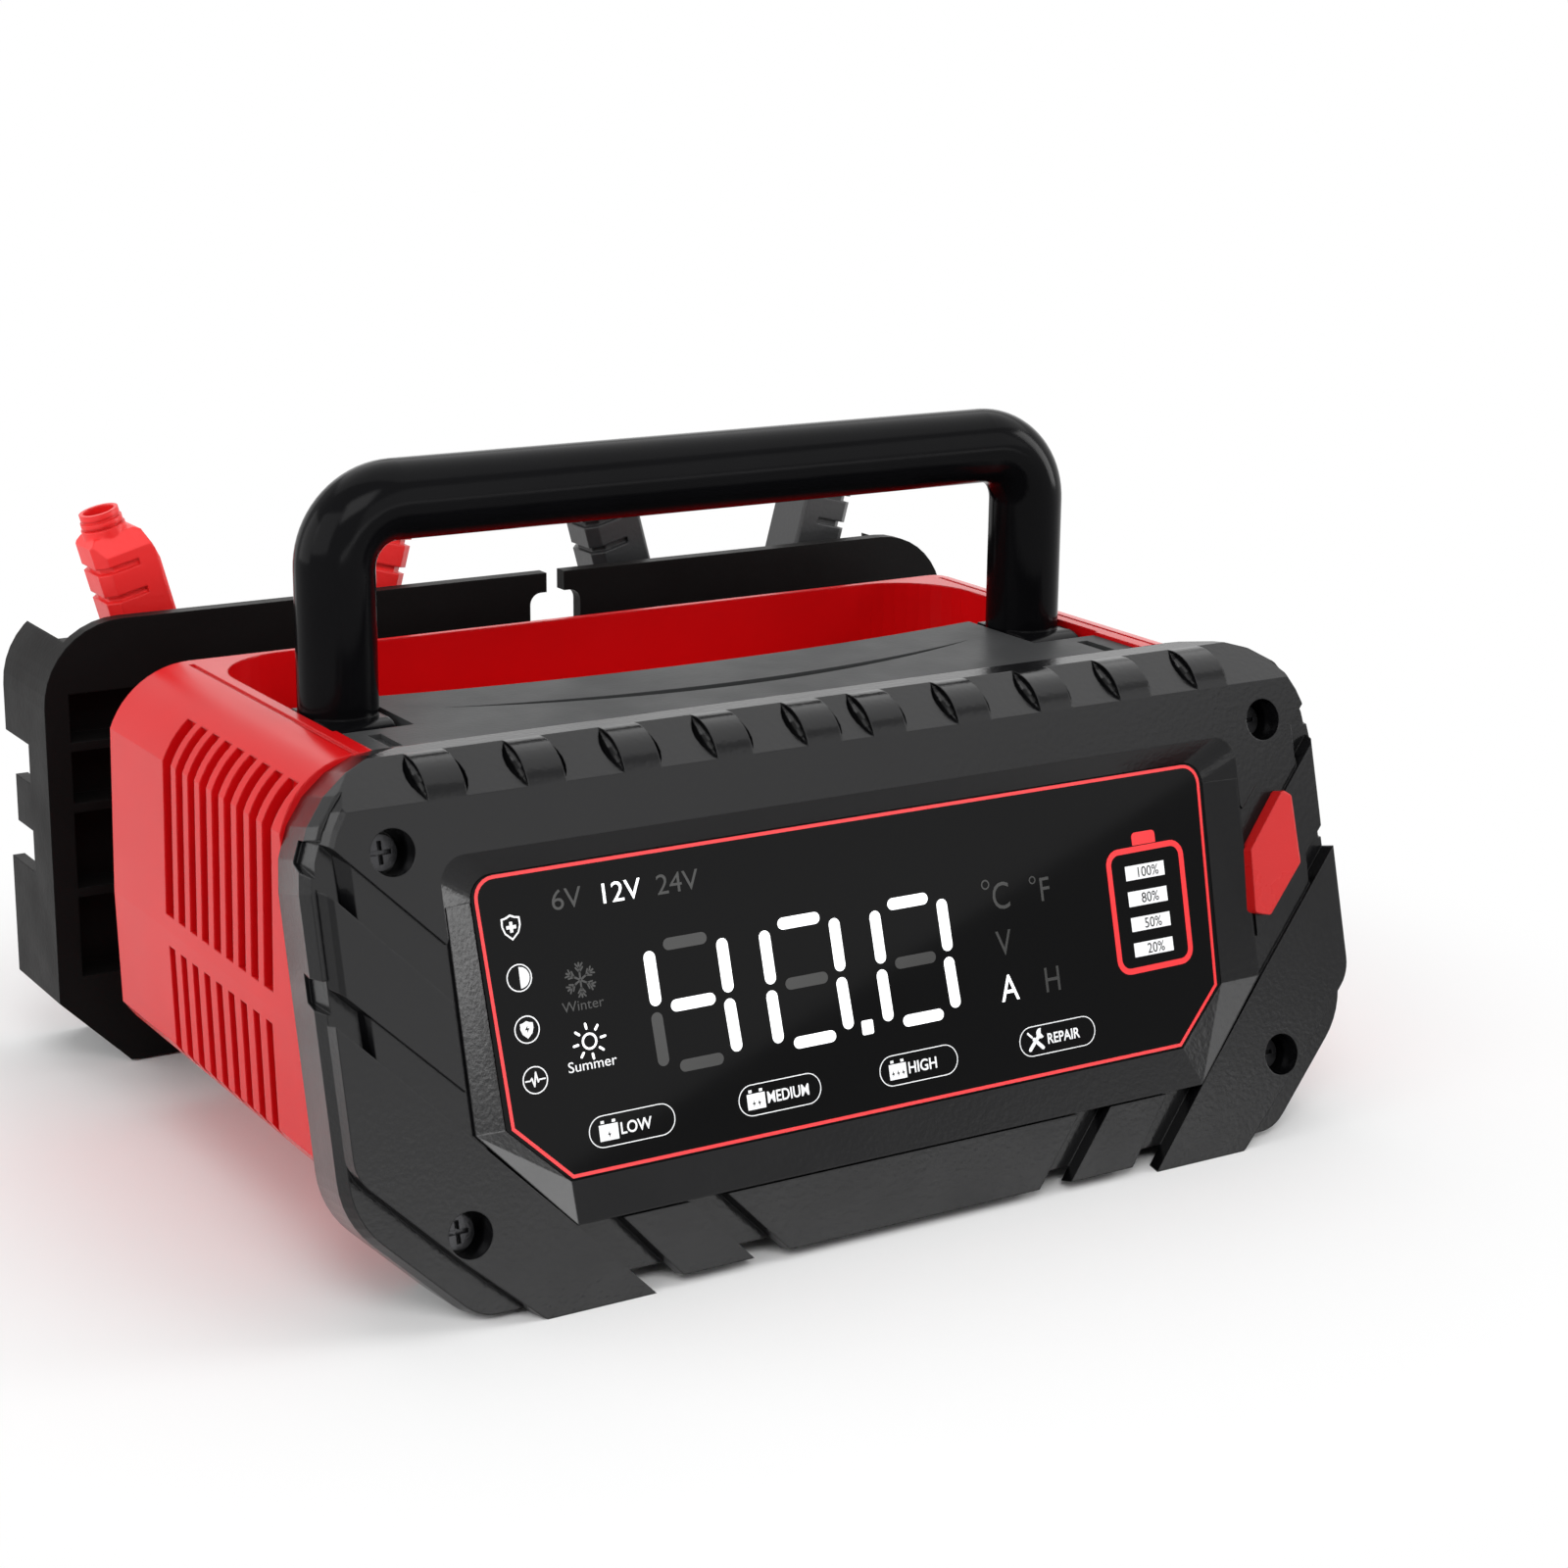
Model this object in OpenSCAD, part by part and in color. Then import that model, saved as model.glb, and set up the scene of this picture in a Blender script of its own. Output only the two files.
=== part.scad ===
// Car battery charger: tilted front bezel, vented body, folding carry handle,
// rear cable flange and two stowed battery clamps. Millimetres. The part stands on
// z = 0, faces -Y, and x = 0 is its plane of symmetry.

/* [Front bezel] */
// width across the front bezel
bezel_w = 255; // [220:1:320]
// height of the bezel above the ground
bezel_h = 110; // [100:1:150]
// depth of the bezel behind its face, along the face normal
bezel_t = 28; // [24:1:45]
// radius of the bezel's top corners
bezel_r = 26.2; // [18:0.1:30]
// backward lean of the face, degrees
face_tilt = 14.8; // [5:0.1:25]
// wall of the bezel moulding
bezel_wall = 3; // [2:0.1:5]
// height of the raised face plates over the channels
plate_t = 4; // [2:0.1:6]
// depth of the channels' floor beside the window
channel_t = 0.9; // [0.5:0.1:1.8]
// depth of the channels where they wrap round the sides
notch_t = 1.8; // [1:0.1:2.6]
// reach of the channels along the sides
notch_in = 13; // [9:0.5:18]
// radius of the dimples at the ends of the grip ribs
dimple_r = 2.1; // [1.2:0.1:2.8]
// length of the plain face, from the bottom datum up to the ridge
face_len = 89; // [80:0.5:110]
// depth of the sloped ridge above the face
ridge_run = 11.8; // [8:0.1:20]
// depth of the flat strip behind the ridge
strip_run = 5.6; // [3:0.1:12]
// width of one grip rib on the ridge
rib_w = 8.6; // [4:0.1:12]
// spacing of the grip ribs
rib_pitch = 22.1; // [16:0.1:26]
// spacing of the two middle grip ribs
rib_mid = 16.6; // [12:0.1:22]
// ribs on each side of the middle
rib_count = 5; // [3:1:6]

/* [Display] */
// width of the window opening at the face
window_w = 201.4; // [160:0.2:210]
// height of the window opening at the face
window_h = 78; // [60:0.5:80]
// width of the window's cut corners at the bottom
window_cut = 20.4; // [10:0.2:30]
// width of the sloped border at the sides of the window
bevel_side = 7.4; // [4:0.1:14]
// width of the sloped border above the window
bevel_top = 4.9; // [2:0.1:8]
// width of the sloped border below the window
bevel_low = 8.6; // [4:0.1:14]
// depth of the glass below the face
glass_depth = 3.8; // [2:0.1:6]
// thickness of the glass
glass_t = 2; // [1:0.1:4]
// thickness of the display board
board_t = 1.6; // [1:0.1:3]

/* [Screws] */
// diameter of the screw recesses in the face
recess_d = 9.6; // [7:0.1:13]
// depth of the screw recesses
recess_t = 9; // [5:0.5:14]
// diameter of the screw heads
screw_head = 7.4; // [5:0.1:9]
// diameter of the screw shanks
screw_d = 3.6; // [2.5:0.1:5]

/* [Body] */
// width of the vented body
body_w = 245.6; // [200:0.2:300]
// height of the body's flat top above the ground
body_top = 106.3; // [95:0.1:130]
// height of the body's underside above the ground
body_low = 11; // [5:0.5:20]
// position of the body's rear wall
body_rear = 148; // [140:0.5:190]
// wall of the body
body_wall = 2.6; // [1.8:0.1:4]
// radius of the body's shoulders
shoulder_r = 21; // [10:0.5:26]
// height of the crease along the body's sides
crease_z = 54.1; // [50:0.1:58]
// lean of the body's sides above and below the crease
side_lean = 0.8; // [0:0.1:1.6]
// width of one vent slot
vent_w = 4; // [2:0.1:4.6]
// extra width of the first and the last slot of the upper row
vent_end = 0.9; // [0:0.1:1.5]
// spacing of the vent slots
vent_pitch = 6.94; // [6:0.01:9]
// vent slots in each row
vent_count = 9; // [5:1:10]
// distance of the front vent slot behind the bezel
vent_in = 3.7; // [3.6:0.1:12]
// band without vents above and below the crease
vent_land = 3.6; // [2:0.1:8]

/* [Top deck and tray] */
// width of the tray in the top
tray_w = 200.4; // [180:0.2:215]
// depth of the tray below the body's top
tray_depth = 28.8; // [24:0.2:40]
// radius of the tray's rear corners
tray_r = 20; // [8:0.5:26]
// thickness of the deck plate
deck_t = 2.5; // [1.5:0.1:4]
// step from the body's top down to the deck plate
deck_step = 0.8; // [0:0.1:3]

/* [Handle] */
// diameter of the handle bar
grip_d = 17.7; // [12:0.1:22]
// height of the bar's centre above the ground
grip_z = 150.8; // [140:0.2:156]
// radius of the handle's bends, at the centre line
bend_r = 14; // [11:0.5:30]
// diameter of the pivot pins
pin_d = 8; // [5:0.1:10]
// height of the pivot pins above the ground
pivot_z = 96.5; // [95:0.1:100]
// position of the pivot pins
pivot_y = 81; // [79:0.1:84]
// distance of the legs behind the pivot pins
leg_back = 9; // [4:0.1:9.5]

/* [Rear flange] */
// position of the flange's front edge
flange_y = 178; // [165:0.5:200]
// thickness of the flange plate
flange_t = 4; // [2.5:0.1:6]
// depth of the flange's side skirts
skirt_t = 30.5; // [28:0.5:45]
// width of the flange
flange_w = 254.6; // [220:0.2:300]
// height of the flange above the ground
flange_h = 111; // [100:0.5:130]
// wall of the skirts
skirt_wall = 3; // [2:0.1:4.5]
// width of the skirts' upper ends
skirt_in = 6.8; // [5:0.1:9]
// radius of the flange's top corners
flange_r = 20; // [10:0.5:26]
// width of the cable slot in the flange
slot_w = 14.4; // [8:0.2:20]
// mouth of the cable slot
slot_mouth = 5; // [3:0.1:7]
// place of the cable slot, right of the middle
slot_x = 7.8; // [0:0.2:12]
// width of the pockets beside the skirts
pocket_w = 24.5; // [16:0.5:28]
// wall between a pocket and the flange's side
pocket_in = 6; // [5:0.5:9]
// depth of the cable groove at the drum's sides
wind_w = 35.3; // [34:0.1:50]
// height of the cable drum
drum_h = 66; // [50:1:70]
// wall of the cable drum
drum_wall = 3; // [2:0.1:5]

/* [Clamps] */
// distance of each clamp from the flange's side
clamp_in = 61.3; // [56:0.1:64]
// thickness of a clamp
clamp_t = 15.4; // [12:0.1:16.5]
// length of the jaws, from the pivot to the nose
jaw_len = 44.4; // [36:0.1:45]
// lean of each clamp handle, degrees
arm_lean = 15; // [12:0.5:17]
// distance of the clamp handles' axes from the pivot
grip_in = 14.9; // [12:0.1:16]
// width of a clamp handle
arm_w = 15.6; // [12:0.1:18]
// length of a clamp arm above its pivot
arm_len = 86; // [60:0.5:90]
// bore of the neck where the lead goes in
neck_bore = 7.6; // [5:0.1:8]
// gap under the nose of a stowed clamp
stand_gap = 0.5; // [0.3:0.05:1]
// diameter of the clamp's hinge pin
hinge_d = 4; // [3:0.1:5]
// width of the copper jaw lining
copper_w = 11; // [8:0.1:12]
// wire of the clamp's spring
wire_d = 1.4; // [1:0.1:1.5]

/* [Fan] */
// size of the fan
fan_size = 50; // [40:1:56]
// thickness of the fan
fan_t = 15; // [10:0.5:20]
// fan blades
fan_blades = 7; // [5:1:9]

/* [Inside] */
// width of the main board
board_w = 160; // [120:1:164]
// depth of the main board
board_d = 80; // [60:1:84]
// height of the transformer's core
core_h = 34; // [24:1:44]
// height of the fins of the heat sink
fin_h = 33; // [20:1:44]
// diameter of the capacitors
can_d = 17; // [12:0.5:20]
// height of the capacitors
can_h = 30; // [20:1:44]
// diameter of the lead glands
gland_d = 16; // [12:0.5:20]

/* [Hidden] */
$fn = 48;
// clearances
fit = 0.3;
run = 0.05;
gap = 0.35;
// the face datum: the face plane crosses this height at y = 0
datum_z = 17;
st = sin(face_tilt);
ct = cos(face_tilt);
bw = bezel_w / 2;
ww = window_w / 2;
win_low = -0.5;
win_top = win_low + window_h;
win_mid = win_low + window_cut * 1.09;
front_y = -datum_z * tan(face_tilt);
rear_y = flange_y + skirt_t;
flange_low = 0.6;
mid_y = (front_y + rear_y) / 2;
// ridge
ridge_y = face_len * st;
ridge_z = datum_z + face_len * ct;
strip_y = ridge_y + ridge_run;
deck_y = strip_y + strip_run;
deck_z = body_top - deck_step;
ridge_slope = (bezel_h - ridge_z) / ridge_run;
rib_chord = norm([ridge_run, bezel_h - ridge_z]);
rib_r = rib_chord / (2 * sin((90 - face_tilt) / 2));
// length of the bezel's back along the face, up to the strip's rear edge
crown = deck_y * st + (bezel_h - datum_z) * ct;
// the seam between bezel and body at the body's top
seam_y = (body_top - datum_z + bezel_t * st) / ct * st + bezel_t * ct;
// screws, as face coordinates
screw_up = [bw - 17.5, face_len - 9];
screw_low = [bw - 23.5, 2.5];
plate_end = -(bezel_t - bezel_wall);
// body
hw = body_w / 2;
shoulder = [hw - side_lean - 0.936 * shoulder_r, body_top - shoulder_r];
shoulder_z = shoulder.y + 0.352 * shoulder_r;
vent_y = seam_y + vent_in;
tray_z = body_top - tray_depth;
tray_rear = body_rear - 1.8;
slot_front = pivot_y - grip_d / 2 - 0.65;
leg_x = tray_w / 2 - grip_d / 2 - 0.55;
slot_in = leg_x - grip_d / 2 - 0.55;
leg_y = pivot_y + leg_back;
land_mid = leg_y + 2;
land_end = leg_y + 9;
land_r = (pow(slot_in, 2) + pow(land_end - land_mid, 2)) / (2 * (land_end - land_mid));
// main board
board_y = body_rear - body_wall - 9.4 - board_d;
board_z = body_low + body_wall + 6;
// cable drum
drum_w = flange_w - 2 * wind_w;
drum_z = body_low + 10;
boss_in = 8;
gland_z = drum_z + drum_h * 0.6;
// clamps
clamp_x = flange_w / 2 - clamp_in;
step_z = flange_low + skirt_wall;
stand_z = step_z + 2 + stand_gap;
clamp_z = stand_z + jaw_len;
clamp_y = rear_y - 1.3 - clamp_t / 2;
pad_y = clamp_y - clamp_t / 2 - fit;
ear_r = 6.2;
core_r = 7;

// ---- frames and profiles -------------------------------------------------------

module place() {
    translate([0, -mid_y, 0]) children();
}

// x across, y up the face, z out of the face
module on_face() {
    translate([0, 0, datum_z]) rotate([90 - face_tilt, 0, 0]) children();
}

// an x-z profile, from y0 to y1
module along_y(y0, y1) {
    translate([0, y1, 0]) rotate([90, 0, 0]) linear_extrude(y1 - y0) children();
}

// a y-z profile, from x0 to x1
module along_x(x0, x1) {
    translate([x0, 0, 0]) rotate([90, 0, 90]) linear_extrude(x1 - x0) children();
}

module both_sides() {
    children();
    mirror([1, 0, 0]) children();
}

function unit(v) = v / norm(v);
function turn(d) = d > 180 ? d - 360 : d < -180 ? d + 360 : d;
// a polygon corner b between a and c, rounded by r
function corner(a, b, c, r, n) =
    r <= 0 ? [b] :
    let(u = unit(a - b), w = unit(c - b), h = acos(u * w) / 2)
    let(m = b + unit(u + w) * r / sin(h), p = b + u * r / tan(h), q = b + w * r / tan(h))
    let(s = atan2(p.y - m.y, p.x - m.x), d = turn(atan2(q.y - m.y, q.x - m.x) - s))
    [for (i = [0 : n]) m + r * [cos(s + d * i / n), sin(s + d * i / n)]];
// points are [x, y, radius]
function rounded(p, n = 6) =
    [for (i = [0 : len(p) - 1])
        let(a = p[(i + len(p) - 1) % len(p)], b = p[i], c = p[(i + 1) % len(p)])
        each corner([a.x, a.y], [b.x, b.y], [c.x, c.y], b[2], n)];
function flip(p) = [for (i = [len(p) - 1 : -1 : 0]) [-p[i].x, p[i].y, p[i][2]]];
function sym(p) = concat(p, flip(p));
function flat(p) = [for (q = p) [q.x, q.y]];

// ---- front bezel -----------------------------------------------------------------

// outline of the bezel's deep part: half width, length of the face, inset
module bezel_outline(h, top, inset = 0) {
    polygon(rounded(sym([
        [h - 24 - inset * 0.4, -15 + inset, 10],
        [h - inset, 9 + inset * 0.4, 19 - inset],
        [h - inset, top - inset, bezel_r - inset]])));
}

// outline that bounds the raised plates at the sides and the top
module plate_outline(h) {
    polygon(rounded(sym([[h, -20, 0], [h, crown, bezel_r]]), 10));
}

module window_2d(side, top, low, r) {
    polygon(rounded(sym([
        [ww - window_cut - side * 0.2, win_low + low, 0],
        [ww - 0.4 - side * 1.13, win_mid - side * 0.1, 0],
        [ww - side, win_top - top, r]]), 10));
}

// the raised plate between the two channels of one side
module side_plate_2d() {
    polygon([[ww + 0.8, win_mid + 27.5], [ww + 0.4, win_mid + 9], [bw + 5, win_mid + 40.6],
        [bw + 5, win_mid + 60.6]]);
}

// the raised plates below the channels
module low_plates_2d() {
    polygon(rounded([[ww + 0.2, win_mid - 0.3, 0], [ww - window_cut, win_low, 0],
        [ww - window_cut - 16, -18, 0], [bw - 38, -18, 4], [bw - 21.5, -2.8, 12],
        [bw - 0.9, 18.1, 9], [bw - 0.9, win_mid + 26.5, 0]]));
    polygon([[ww - window_cut - 10.3, win_low - 0.2], [ww - window_cut - 26.2, win_low - 0.2],
        [ww - window_cut - 39.3, win_low - 14.7], [ww - window_cut - 22.3, win_low - 14.7]]);
}

module upper_plate_2d() {
    polygon([[-bw - 5, win_mid + 71.1], [-bw - 5, crown + 5], [bw + 5, crown + 5],
        [bw + 5, win_mid + 71.1], [ww + 0.4, win_mid + 38.6], [ww - 4, win_top - 10],
        [-ww + 4, win_top - 10], [-ww - 0.4, win_mid + 38.6]]);
}

// shallow floor of the channels of one side, up to its edge at half width h
module channel_floor_2d(h, flare) {
    polygon([[ww - 3, win_mid - 4], [ww - 3, win_mid + 44], [h + flare, win_mid + 64],
        [h, win_mid + 48], [h, win_mid + 8]]);
}

// one channel where it wraps round the side: its upper and lower edges, back and front
module side_notch(up, low) {
    along_x(bw - bezel_r, bw + 1)
        polygon([[win_mid + up.x, -notch_in], [win_mid + up.y, 1], [win_mid + low.y, 1],
            [win_mid + low.x, -notch_in]]);
}

module chin_2d() {
    polygon(flat(sym([[ww - window_cut - 48, win_low - 14.7, 0],
        [ww - window_cut - 35, win_low - 0.2, 0]])));
}

// everything above the ridge slope and the top strip
module above_ridge() {
    along_x(-bezel_w, bezel_w)
        polygon([[ridge_y - 40, ridge_z - 40 * ridge_slope], [strip_y, bezel_h],
            [strip_y + 100, bezel_h], [strip_y + 100, bezel_h + 60],
            [ridge_y - 40, bezel_h + 60]]);
}

module ridge_ribs() {
    mid = [ridge_y + strip_y, ridge_z + bezel_h] / 2;
    dir = unit([-ridge_slope, 1]);
    c = mid - dir * sqrt(pow(rib_r, 2) - pow(rib_chord / 2, 2));
    for (i = [0 : rib_count - 1])
        both_sides()
            along_x(rib_mid / 2 + i * rib_pitch - rib_w / 2, rib_mid / 2 + i * rib_pitch + rib_w / 2)
                intersection() {
                    translate(c) circle(r = rib_r, $fn = 96);
                    polygon([[ridge_y, ridge_z], [strip_y, bezel_h],
                        [strip_y, bezel_h + 20], [ridge_y - 20, bezel_h + 20],
                        [ridge_y - 20, ridge_z]]);
                }
}

// pointed dimples at both ends of each grip rib
module rib_dimples() {
    h = rib_chord / 2 - 0.7;
    for (i = [0 : rib_count - 1], s = [-1, 1]) both_sides()
        translate([rib_mid / 2 + i * rib_pitch + s * rib_w / 2, ridge_y + ridge_run / 2, (ridge_z + bezel_h) / 2])
            rotate([-atan2(ridge_run, bezel_h - ridge_z), 0, 0]) rotate_extrude($fn = 24)
                polygon([[0, -h], [dimple_r * 0.55, -h * 0.68], [dimple_r * 0.88, -h * 0.36], [dimple_r, 0],
                    [dimple_r * 0.88, h * 0.36], [dimple_r * 0.55, h * 0.68], [0, h]]);
}

module screw_spots() {
    both_sides() {
        translate([screw_up.x, screw_up.y, 0]) children();
        translate([screw_low.x, screw_low.y, 0]) children();
    }
}

module front_bezel() {
    color([0.10, 0.10, 0.11])
    place() difference() {
        union() {
            difference() {
                bezel_block();
                bezel_cuts();
            }
            ridge_ribs();
        }
        rib_dimples();
    }
}

module bezel_block() {
    on_face() {
        // sides fullest a little behind the plates, with a bevel towards them
        hull() {
            translate([0, 0, -bezel_t]) linear_extrude(0.1) bezel_outline(bw - 3.6, crown);
            translate([0, 0, -2 * plate_t]) linear_extrude(0.1) bezel_outline(bw, crown);
            translate([0, 0, -plate_t - 0.1]) linear_extrude(0.1) bezel_outline(bw - 1, crown);
        }
        translate([0, 0, -plate_t - 1]) linear_extrude(plate_t + 1) {
            both_sides() low_plates_2d();
            chin_2d();
        }
        intersection() {
            translate([0, 0, -plate_t - 1]) linear_extrude(plate_t + 1) {
                upper_plate_2d();
                both_sides() side_plate_2d();
            }
            hull() {
                translate([0, 0, -plate_t - 2]) linear_extrude(2) plate_outline(bw - 1.9);
                translate([0, 0, -1.1]) linear_extrude(0.1) plate_outline(bw - 3);
                translate([0, 0, -0.1]) linear_extrude(0.1) plate_outline(bw - 3.9);
            }
        }
        both_sides() hull() {
            translate([0, 0, -plate_t - 0.5]) linear_extrude(0.5) channel_floor_2d(bw - 8, 2);
            translate([0, 0, -channel_t - 0.1]) linear_extrude(0.1) channel_floor_2d(bw - 8.8, 0.2);
        }
    }
}

module bezel_cuts() {
    above_ridge();
    // flat to stand on
    translate([-bezel_w, -100, -60]) cube([2 * bezel_w, 300, 60]);
    // seat of the deck plate
    translate([-tray_w / 2 + 1 - fit / 2, deck_y, deck_z - deck_t])
        cube([tray_w - 2 + fit, 60, 60]);
    on_face() {
        // the underside is a little higher between the lower plates
        translate([-bw + 41, -30, -2 * bezel_t]) cube([bezel_w - 82, 17.5, 2 * bezel_t - plate_t]);
        // sloped border of the window
        hull() {
            translate([0, 0, 0.4]) linear_extrude(0.1) window_2d(-0.9, -0.5, -0.9, 6);
            translate([0, 0, -glass_depth])
                linear_extrude(0.1) window_2d(bevel_side, bevel_top, bevel_low, 5);
        }
        // seat of the glass
        translate([0, 0, -glass_depth - glass_t])
            linear_extrude(glass_t + 0.2) window_2d(bevel_side, bevel_top, bevel_low, 5);
        // light opening behind the glass
        translate([0, 0, -bezel_t]) linear_extrude(bezel_t)
            window_2d(bevel_side + 5, bevel_top + 5, bevel_low + 5, 3);
        // inside of the moulding
        difference() {
            translate([0, 0, -bezel_t - 1])
                linear_extrude(bezel_t + 1 - glass_depth - glass_t - bezel_wall)
                    bezel_outline(bw - 4.2, face_len + 1, bezel_wall + 1.6);
            screw_spots() translate([0, 0, plate_end])
                cylinder(d = recess_d + 4, h = bezel_t);
        }
        // the channels wrapped round the sides
        both_sides() difference() {
            union() {
                side_notch([62.8, 62.5], [58.3, 53.9]);
                side_notch([36.7, 34.3], [30.7, 27.4]);
            }
            translate([0, 0, -bezel_t]) linear_extrude(2 * bezel_t) bezel_outline(bw, crown, notch_t);
        }
        // seat of the side marker
        translate([0, 0, -plate_t]) linear_extrude(plate_t + 2) accent_2d();
        // screw recesses and their bores
        screw_spots() {
            translate([0, 0, -recess_t]) cylinder(d = recess_d, h = recess_t + 1);
            translate([0, 0, -bezel_t - 1]) cylinder(d = screw_d + 0.6, h = bezel_t);
        }
    }
}

// closing plate behind the bezel
module bezel_back() {
    color([0.08, 0.08, 0.09])
    place() on_face() difference() {
        translate([0, 0, -bezel_t]) linear_extrude(bezel_wall)
            bezel_outline(bw - 4.2, face_len + 1, bezel_wall + 1.8);
        // cable window
        translate([-60, 20, -bezel_t - 1]) cube([120, 40, bezel_wall + 2]);
        screw_spots() translate([0, 0, -bezel_t - 1])
            cylinder(d = screw_d, h = bezel_wall + 2);
    }
}

module display_glass() {
    color([0.02, 0.02, 0.03])
    place() on_face() translate([0, 0, -glass_depth - glass_t]) linear_extrude(glass_t)
        window_2d(bevel_side + 0.15, bevel_top + 0.15, bevel_low + 0.15, 4.9);
}

module display_board() {
    color([0.05, 0.30, 0.12])
    place() on_face() {
        b = -glass_depth - glass_t - bezel_wall;
        translate([-ww + bevel_side - 1, win_mid - 6, b - board_t])
            cube([window_w - 2 * bevel_side + 2, window_h * 0.675, board_t]);
        // reflector block of the number display, in the light opening
        translate([-window_w * 0.3, win_mid + 6, b]) cube([window_w * 0.6, window_h * 0.39, bezel_wall - 0.4]);
    }
}

module accent_2d() {
    polygon(rounded([[bw - 16.2, 63.4, 1], [bw - 13.8, 61.8, 1], [bw - 13.4, 46, 1],
        [bw - 24, 35.2, 1], [bw - 28.2, 36.4, 1], [bw - 27.4, 51, 1]], 3));
}

// raised red marker on the right channel
module side_accent() {
    color([0.85, 0.08, 0.08])
    place() on_face() translate([0, 0, -plate_t]) linear_extrude(plate_t + 2.6) accent_2d();
}

module screw(len) {
    difference() {
        cylinder(d = screw_head, h = 2.6);
        translate([-screw_head * 0.32, -0.45, 1.4]) cube([screw_head * 0.64, 0.9, 2]);
        translate([-0.45, -screw_head * 0.32, 1.4]) cube([0.9, screw_head * 0.64, 2]);
    }
    translate([0, 0, -len]) cylinder(d = screw_d - 0.02, h = len + 0.1);
}

module front_screws() {
    color([0.25, 0.25, 0.27])
    place() on_face() screw_spots() translate([0, 0, -recess_t])
        screw(bezel_t - recess_t - 0.2);
}

// ---- body ------------------------------------------------------------------------

module body_2d(t) {
    intersection() {
        polygon(flat(sym([[hw * 0.72, body_low + t, 0], [hw - 3.8 - t * 0.8, body_low + 12 + t * 0.5, 0],
            [hw - side_lean - t, body_low + 16 + t * 0.3, 0], [hw - t, crease_z, 0],
            [hw - side_lean - t, shoulder_z, 0], [hw - side_lean - t, body_top - t, 0]])));
        union() {
            translate([-hw, 0]) square([body_w, shoulder_z]);
            translate([-shoulder.x, 0]) square([2 * shoulder.x, body_top - t]);
            both_sides() translate(shoulder) circle(r = shoulder_r - t, $fn = 96);
        }
    }
}

// in front of the bezel's rear plane
module bezel_side() {
    on_face() translate([-bezel_w, -100, -bezel_t]) cube([2 * bezel_w, 300, 100]);
}

// the land under the deck plate, with its hollow rear edge
module land_2d(grow = 0) {
    difference() {
        translate([-slot_in + grow, 0]) square([2 * slot_in - 2 * grow, land_end + 1]);
        translate([0, land_mid + land_r - grow]) circle(r = land_r, $fn = 360);
    }
}

// plan of the handle tray: two leg channels and the trough for the bar
module tray_2d(grow = 0) {
    difference() {
        polygon(rounded(sym([[tray_w / 2 + grow, slot_front - grow, 0],
            [tray_w / 2 + grow, tray_rear + grow, tray_r + grow]]), 10));
        land_2d(grow);
    }
}

module vents() {
    low_w = vent_w * 0.86;
    for (i = [0 : vent_count - 1]) translate([hw - 8, vent_y + i * vent_pitch, 0]) {
        // the first slot is wider at its front, the last at its back
        e0 = i == 0 ? vent_end : 0;
        e1 = i == vent_count - 1 ? vent_end : 0;
        translate([0, -vent_w / 2 - e0, crease_z + vent_land])
            cube([20, vent_w + e0 + e1, body_top - 4.9 - crease_z - vent_land]);
        translate([0, -low_w / 2, body_low + 14]) cube([20, low_w, crease_z - vent_land - body_low - 14]);
    }
}

module housing() {
    color([0.80, 0.06, 0.07])
    place() difference() {
        union() {
            difference() {
                along_y(20, body_rear) body_2d(0);
                difference() {
                    along_y(10, body_rear - body_wall) body_2d(body_wall);
                    // walls of the tray
                    translate([0, 0, tray_z - body_wall])
                        linear_extrude(200) tray_2d(body_wall);
                    // shelf under the deck plate
                    translate([-tray_w / 2 - body_wall, 0, deck_z - deck_t - body_wall])
                        cube([tray_w + 2 * body_wall, slot_front, 100]);
                    translate([0, 0, deck_z - deck_t - body_wall]) linear_extrude(100) land_2d(0);
                    // bosses of the handle pins
                    both_sides() along_x(tray_w / 2 + 1, tray_w / 2 + 9)
                        translate([pivot_y, pivot_z]) circle(d = pin_d + 5);
                }
                both_sides() vents();
            }
            // posts of the main board
            board_spots() translate([0, 0, body_low + body_wall - 0.5]) cylinder(d = 7, h = 6.5);
        }
        bezel_side();
        // tray and the seat of the deck plate
        translate([0, 0, tray_z]) linear_extrude(200) tray_2d();
        translate([-tray_w / 2 + 1 - fit / 2, 0, deck_z - deck_t])
            cube([tray_w - 2 + fit, slot_front + 0.2, 100]);
        translate([0, 0, deck_z - deck_t]) linear_extrude(100) land_2d(-0.2);
        // seam groove beside the tray
        both_sides() translate([tray_w / 2 + 2.6, 20, body_top - 0.6]) cube([1.2, body_rear - 24, 5]);
        // bores of the handle pins
        along_x(-tray_w / 2 - 7, tray_w / 2 + 7) translate([pivot_y, pivot_z]) circle(d = pin_d + 2 * run);
        // cable passage to the drum
        translate([-50, body_rear - body_wall - 1, body_low + 24]) cube([100, body_wall + 2, 30]);
    }
}

// radius of an arc across the deck groove, from its rise
function arc_r(h) = (pow(slot_in - 11.5, 2) + h * h) / (2 * h);

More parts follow.
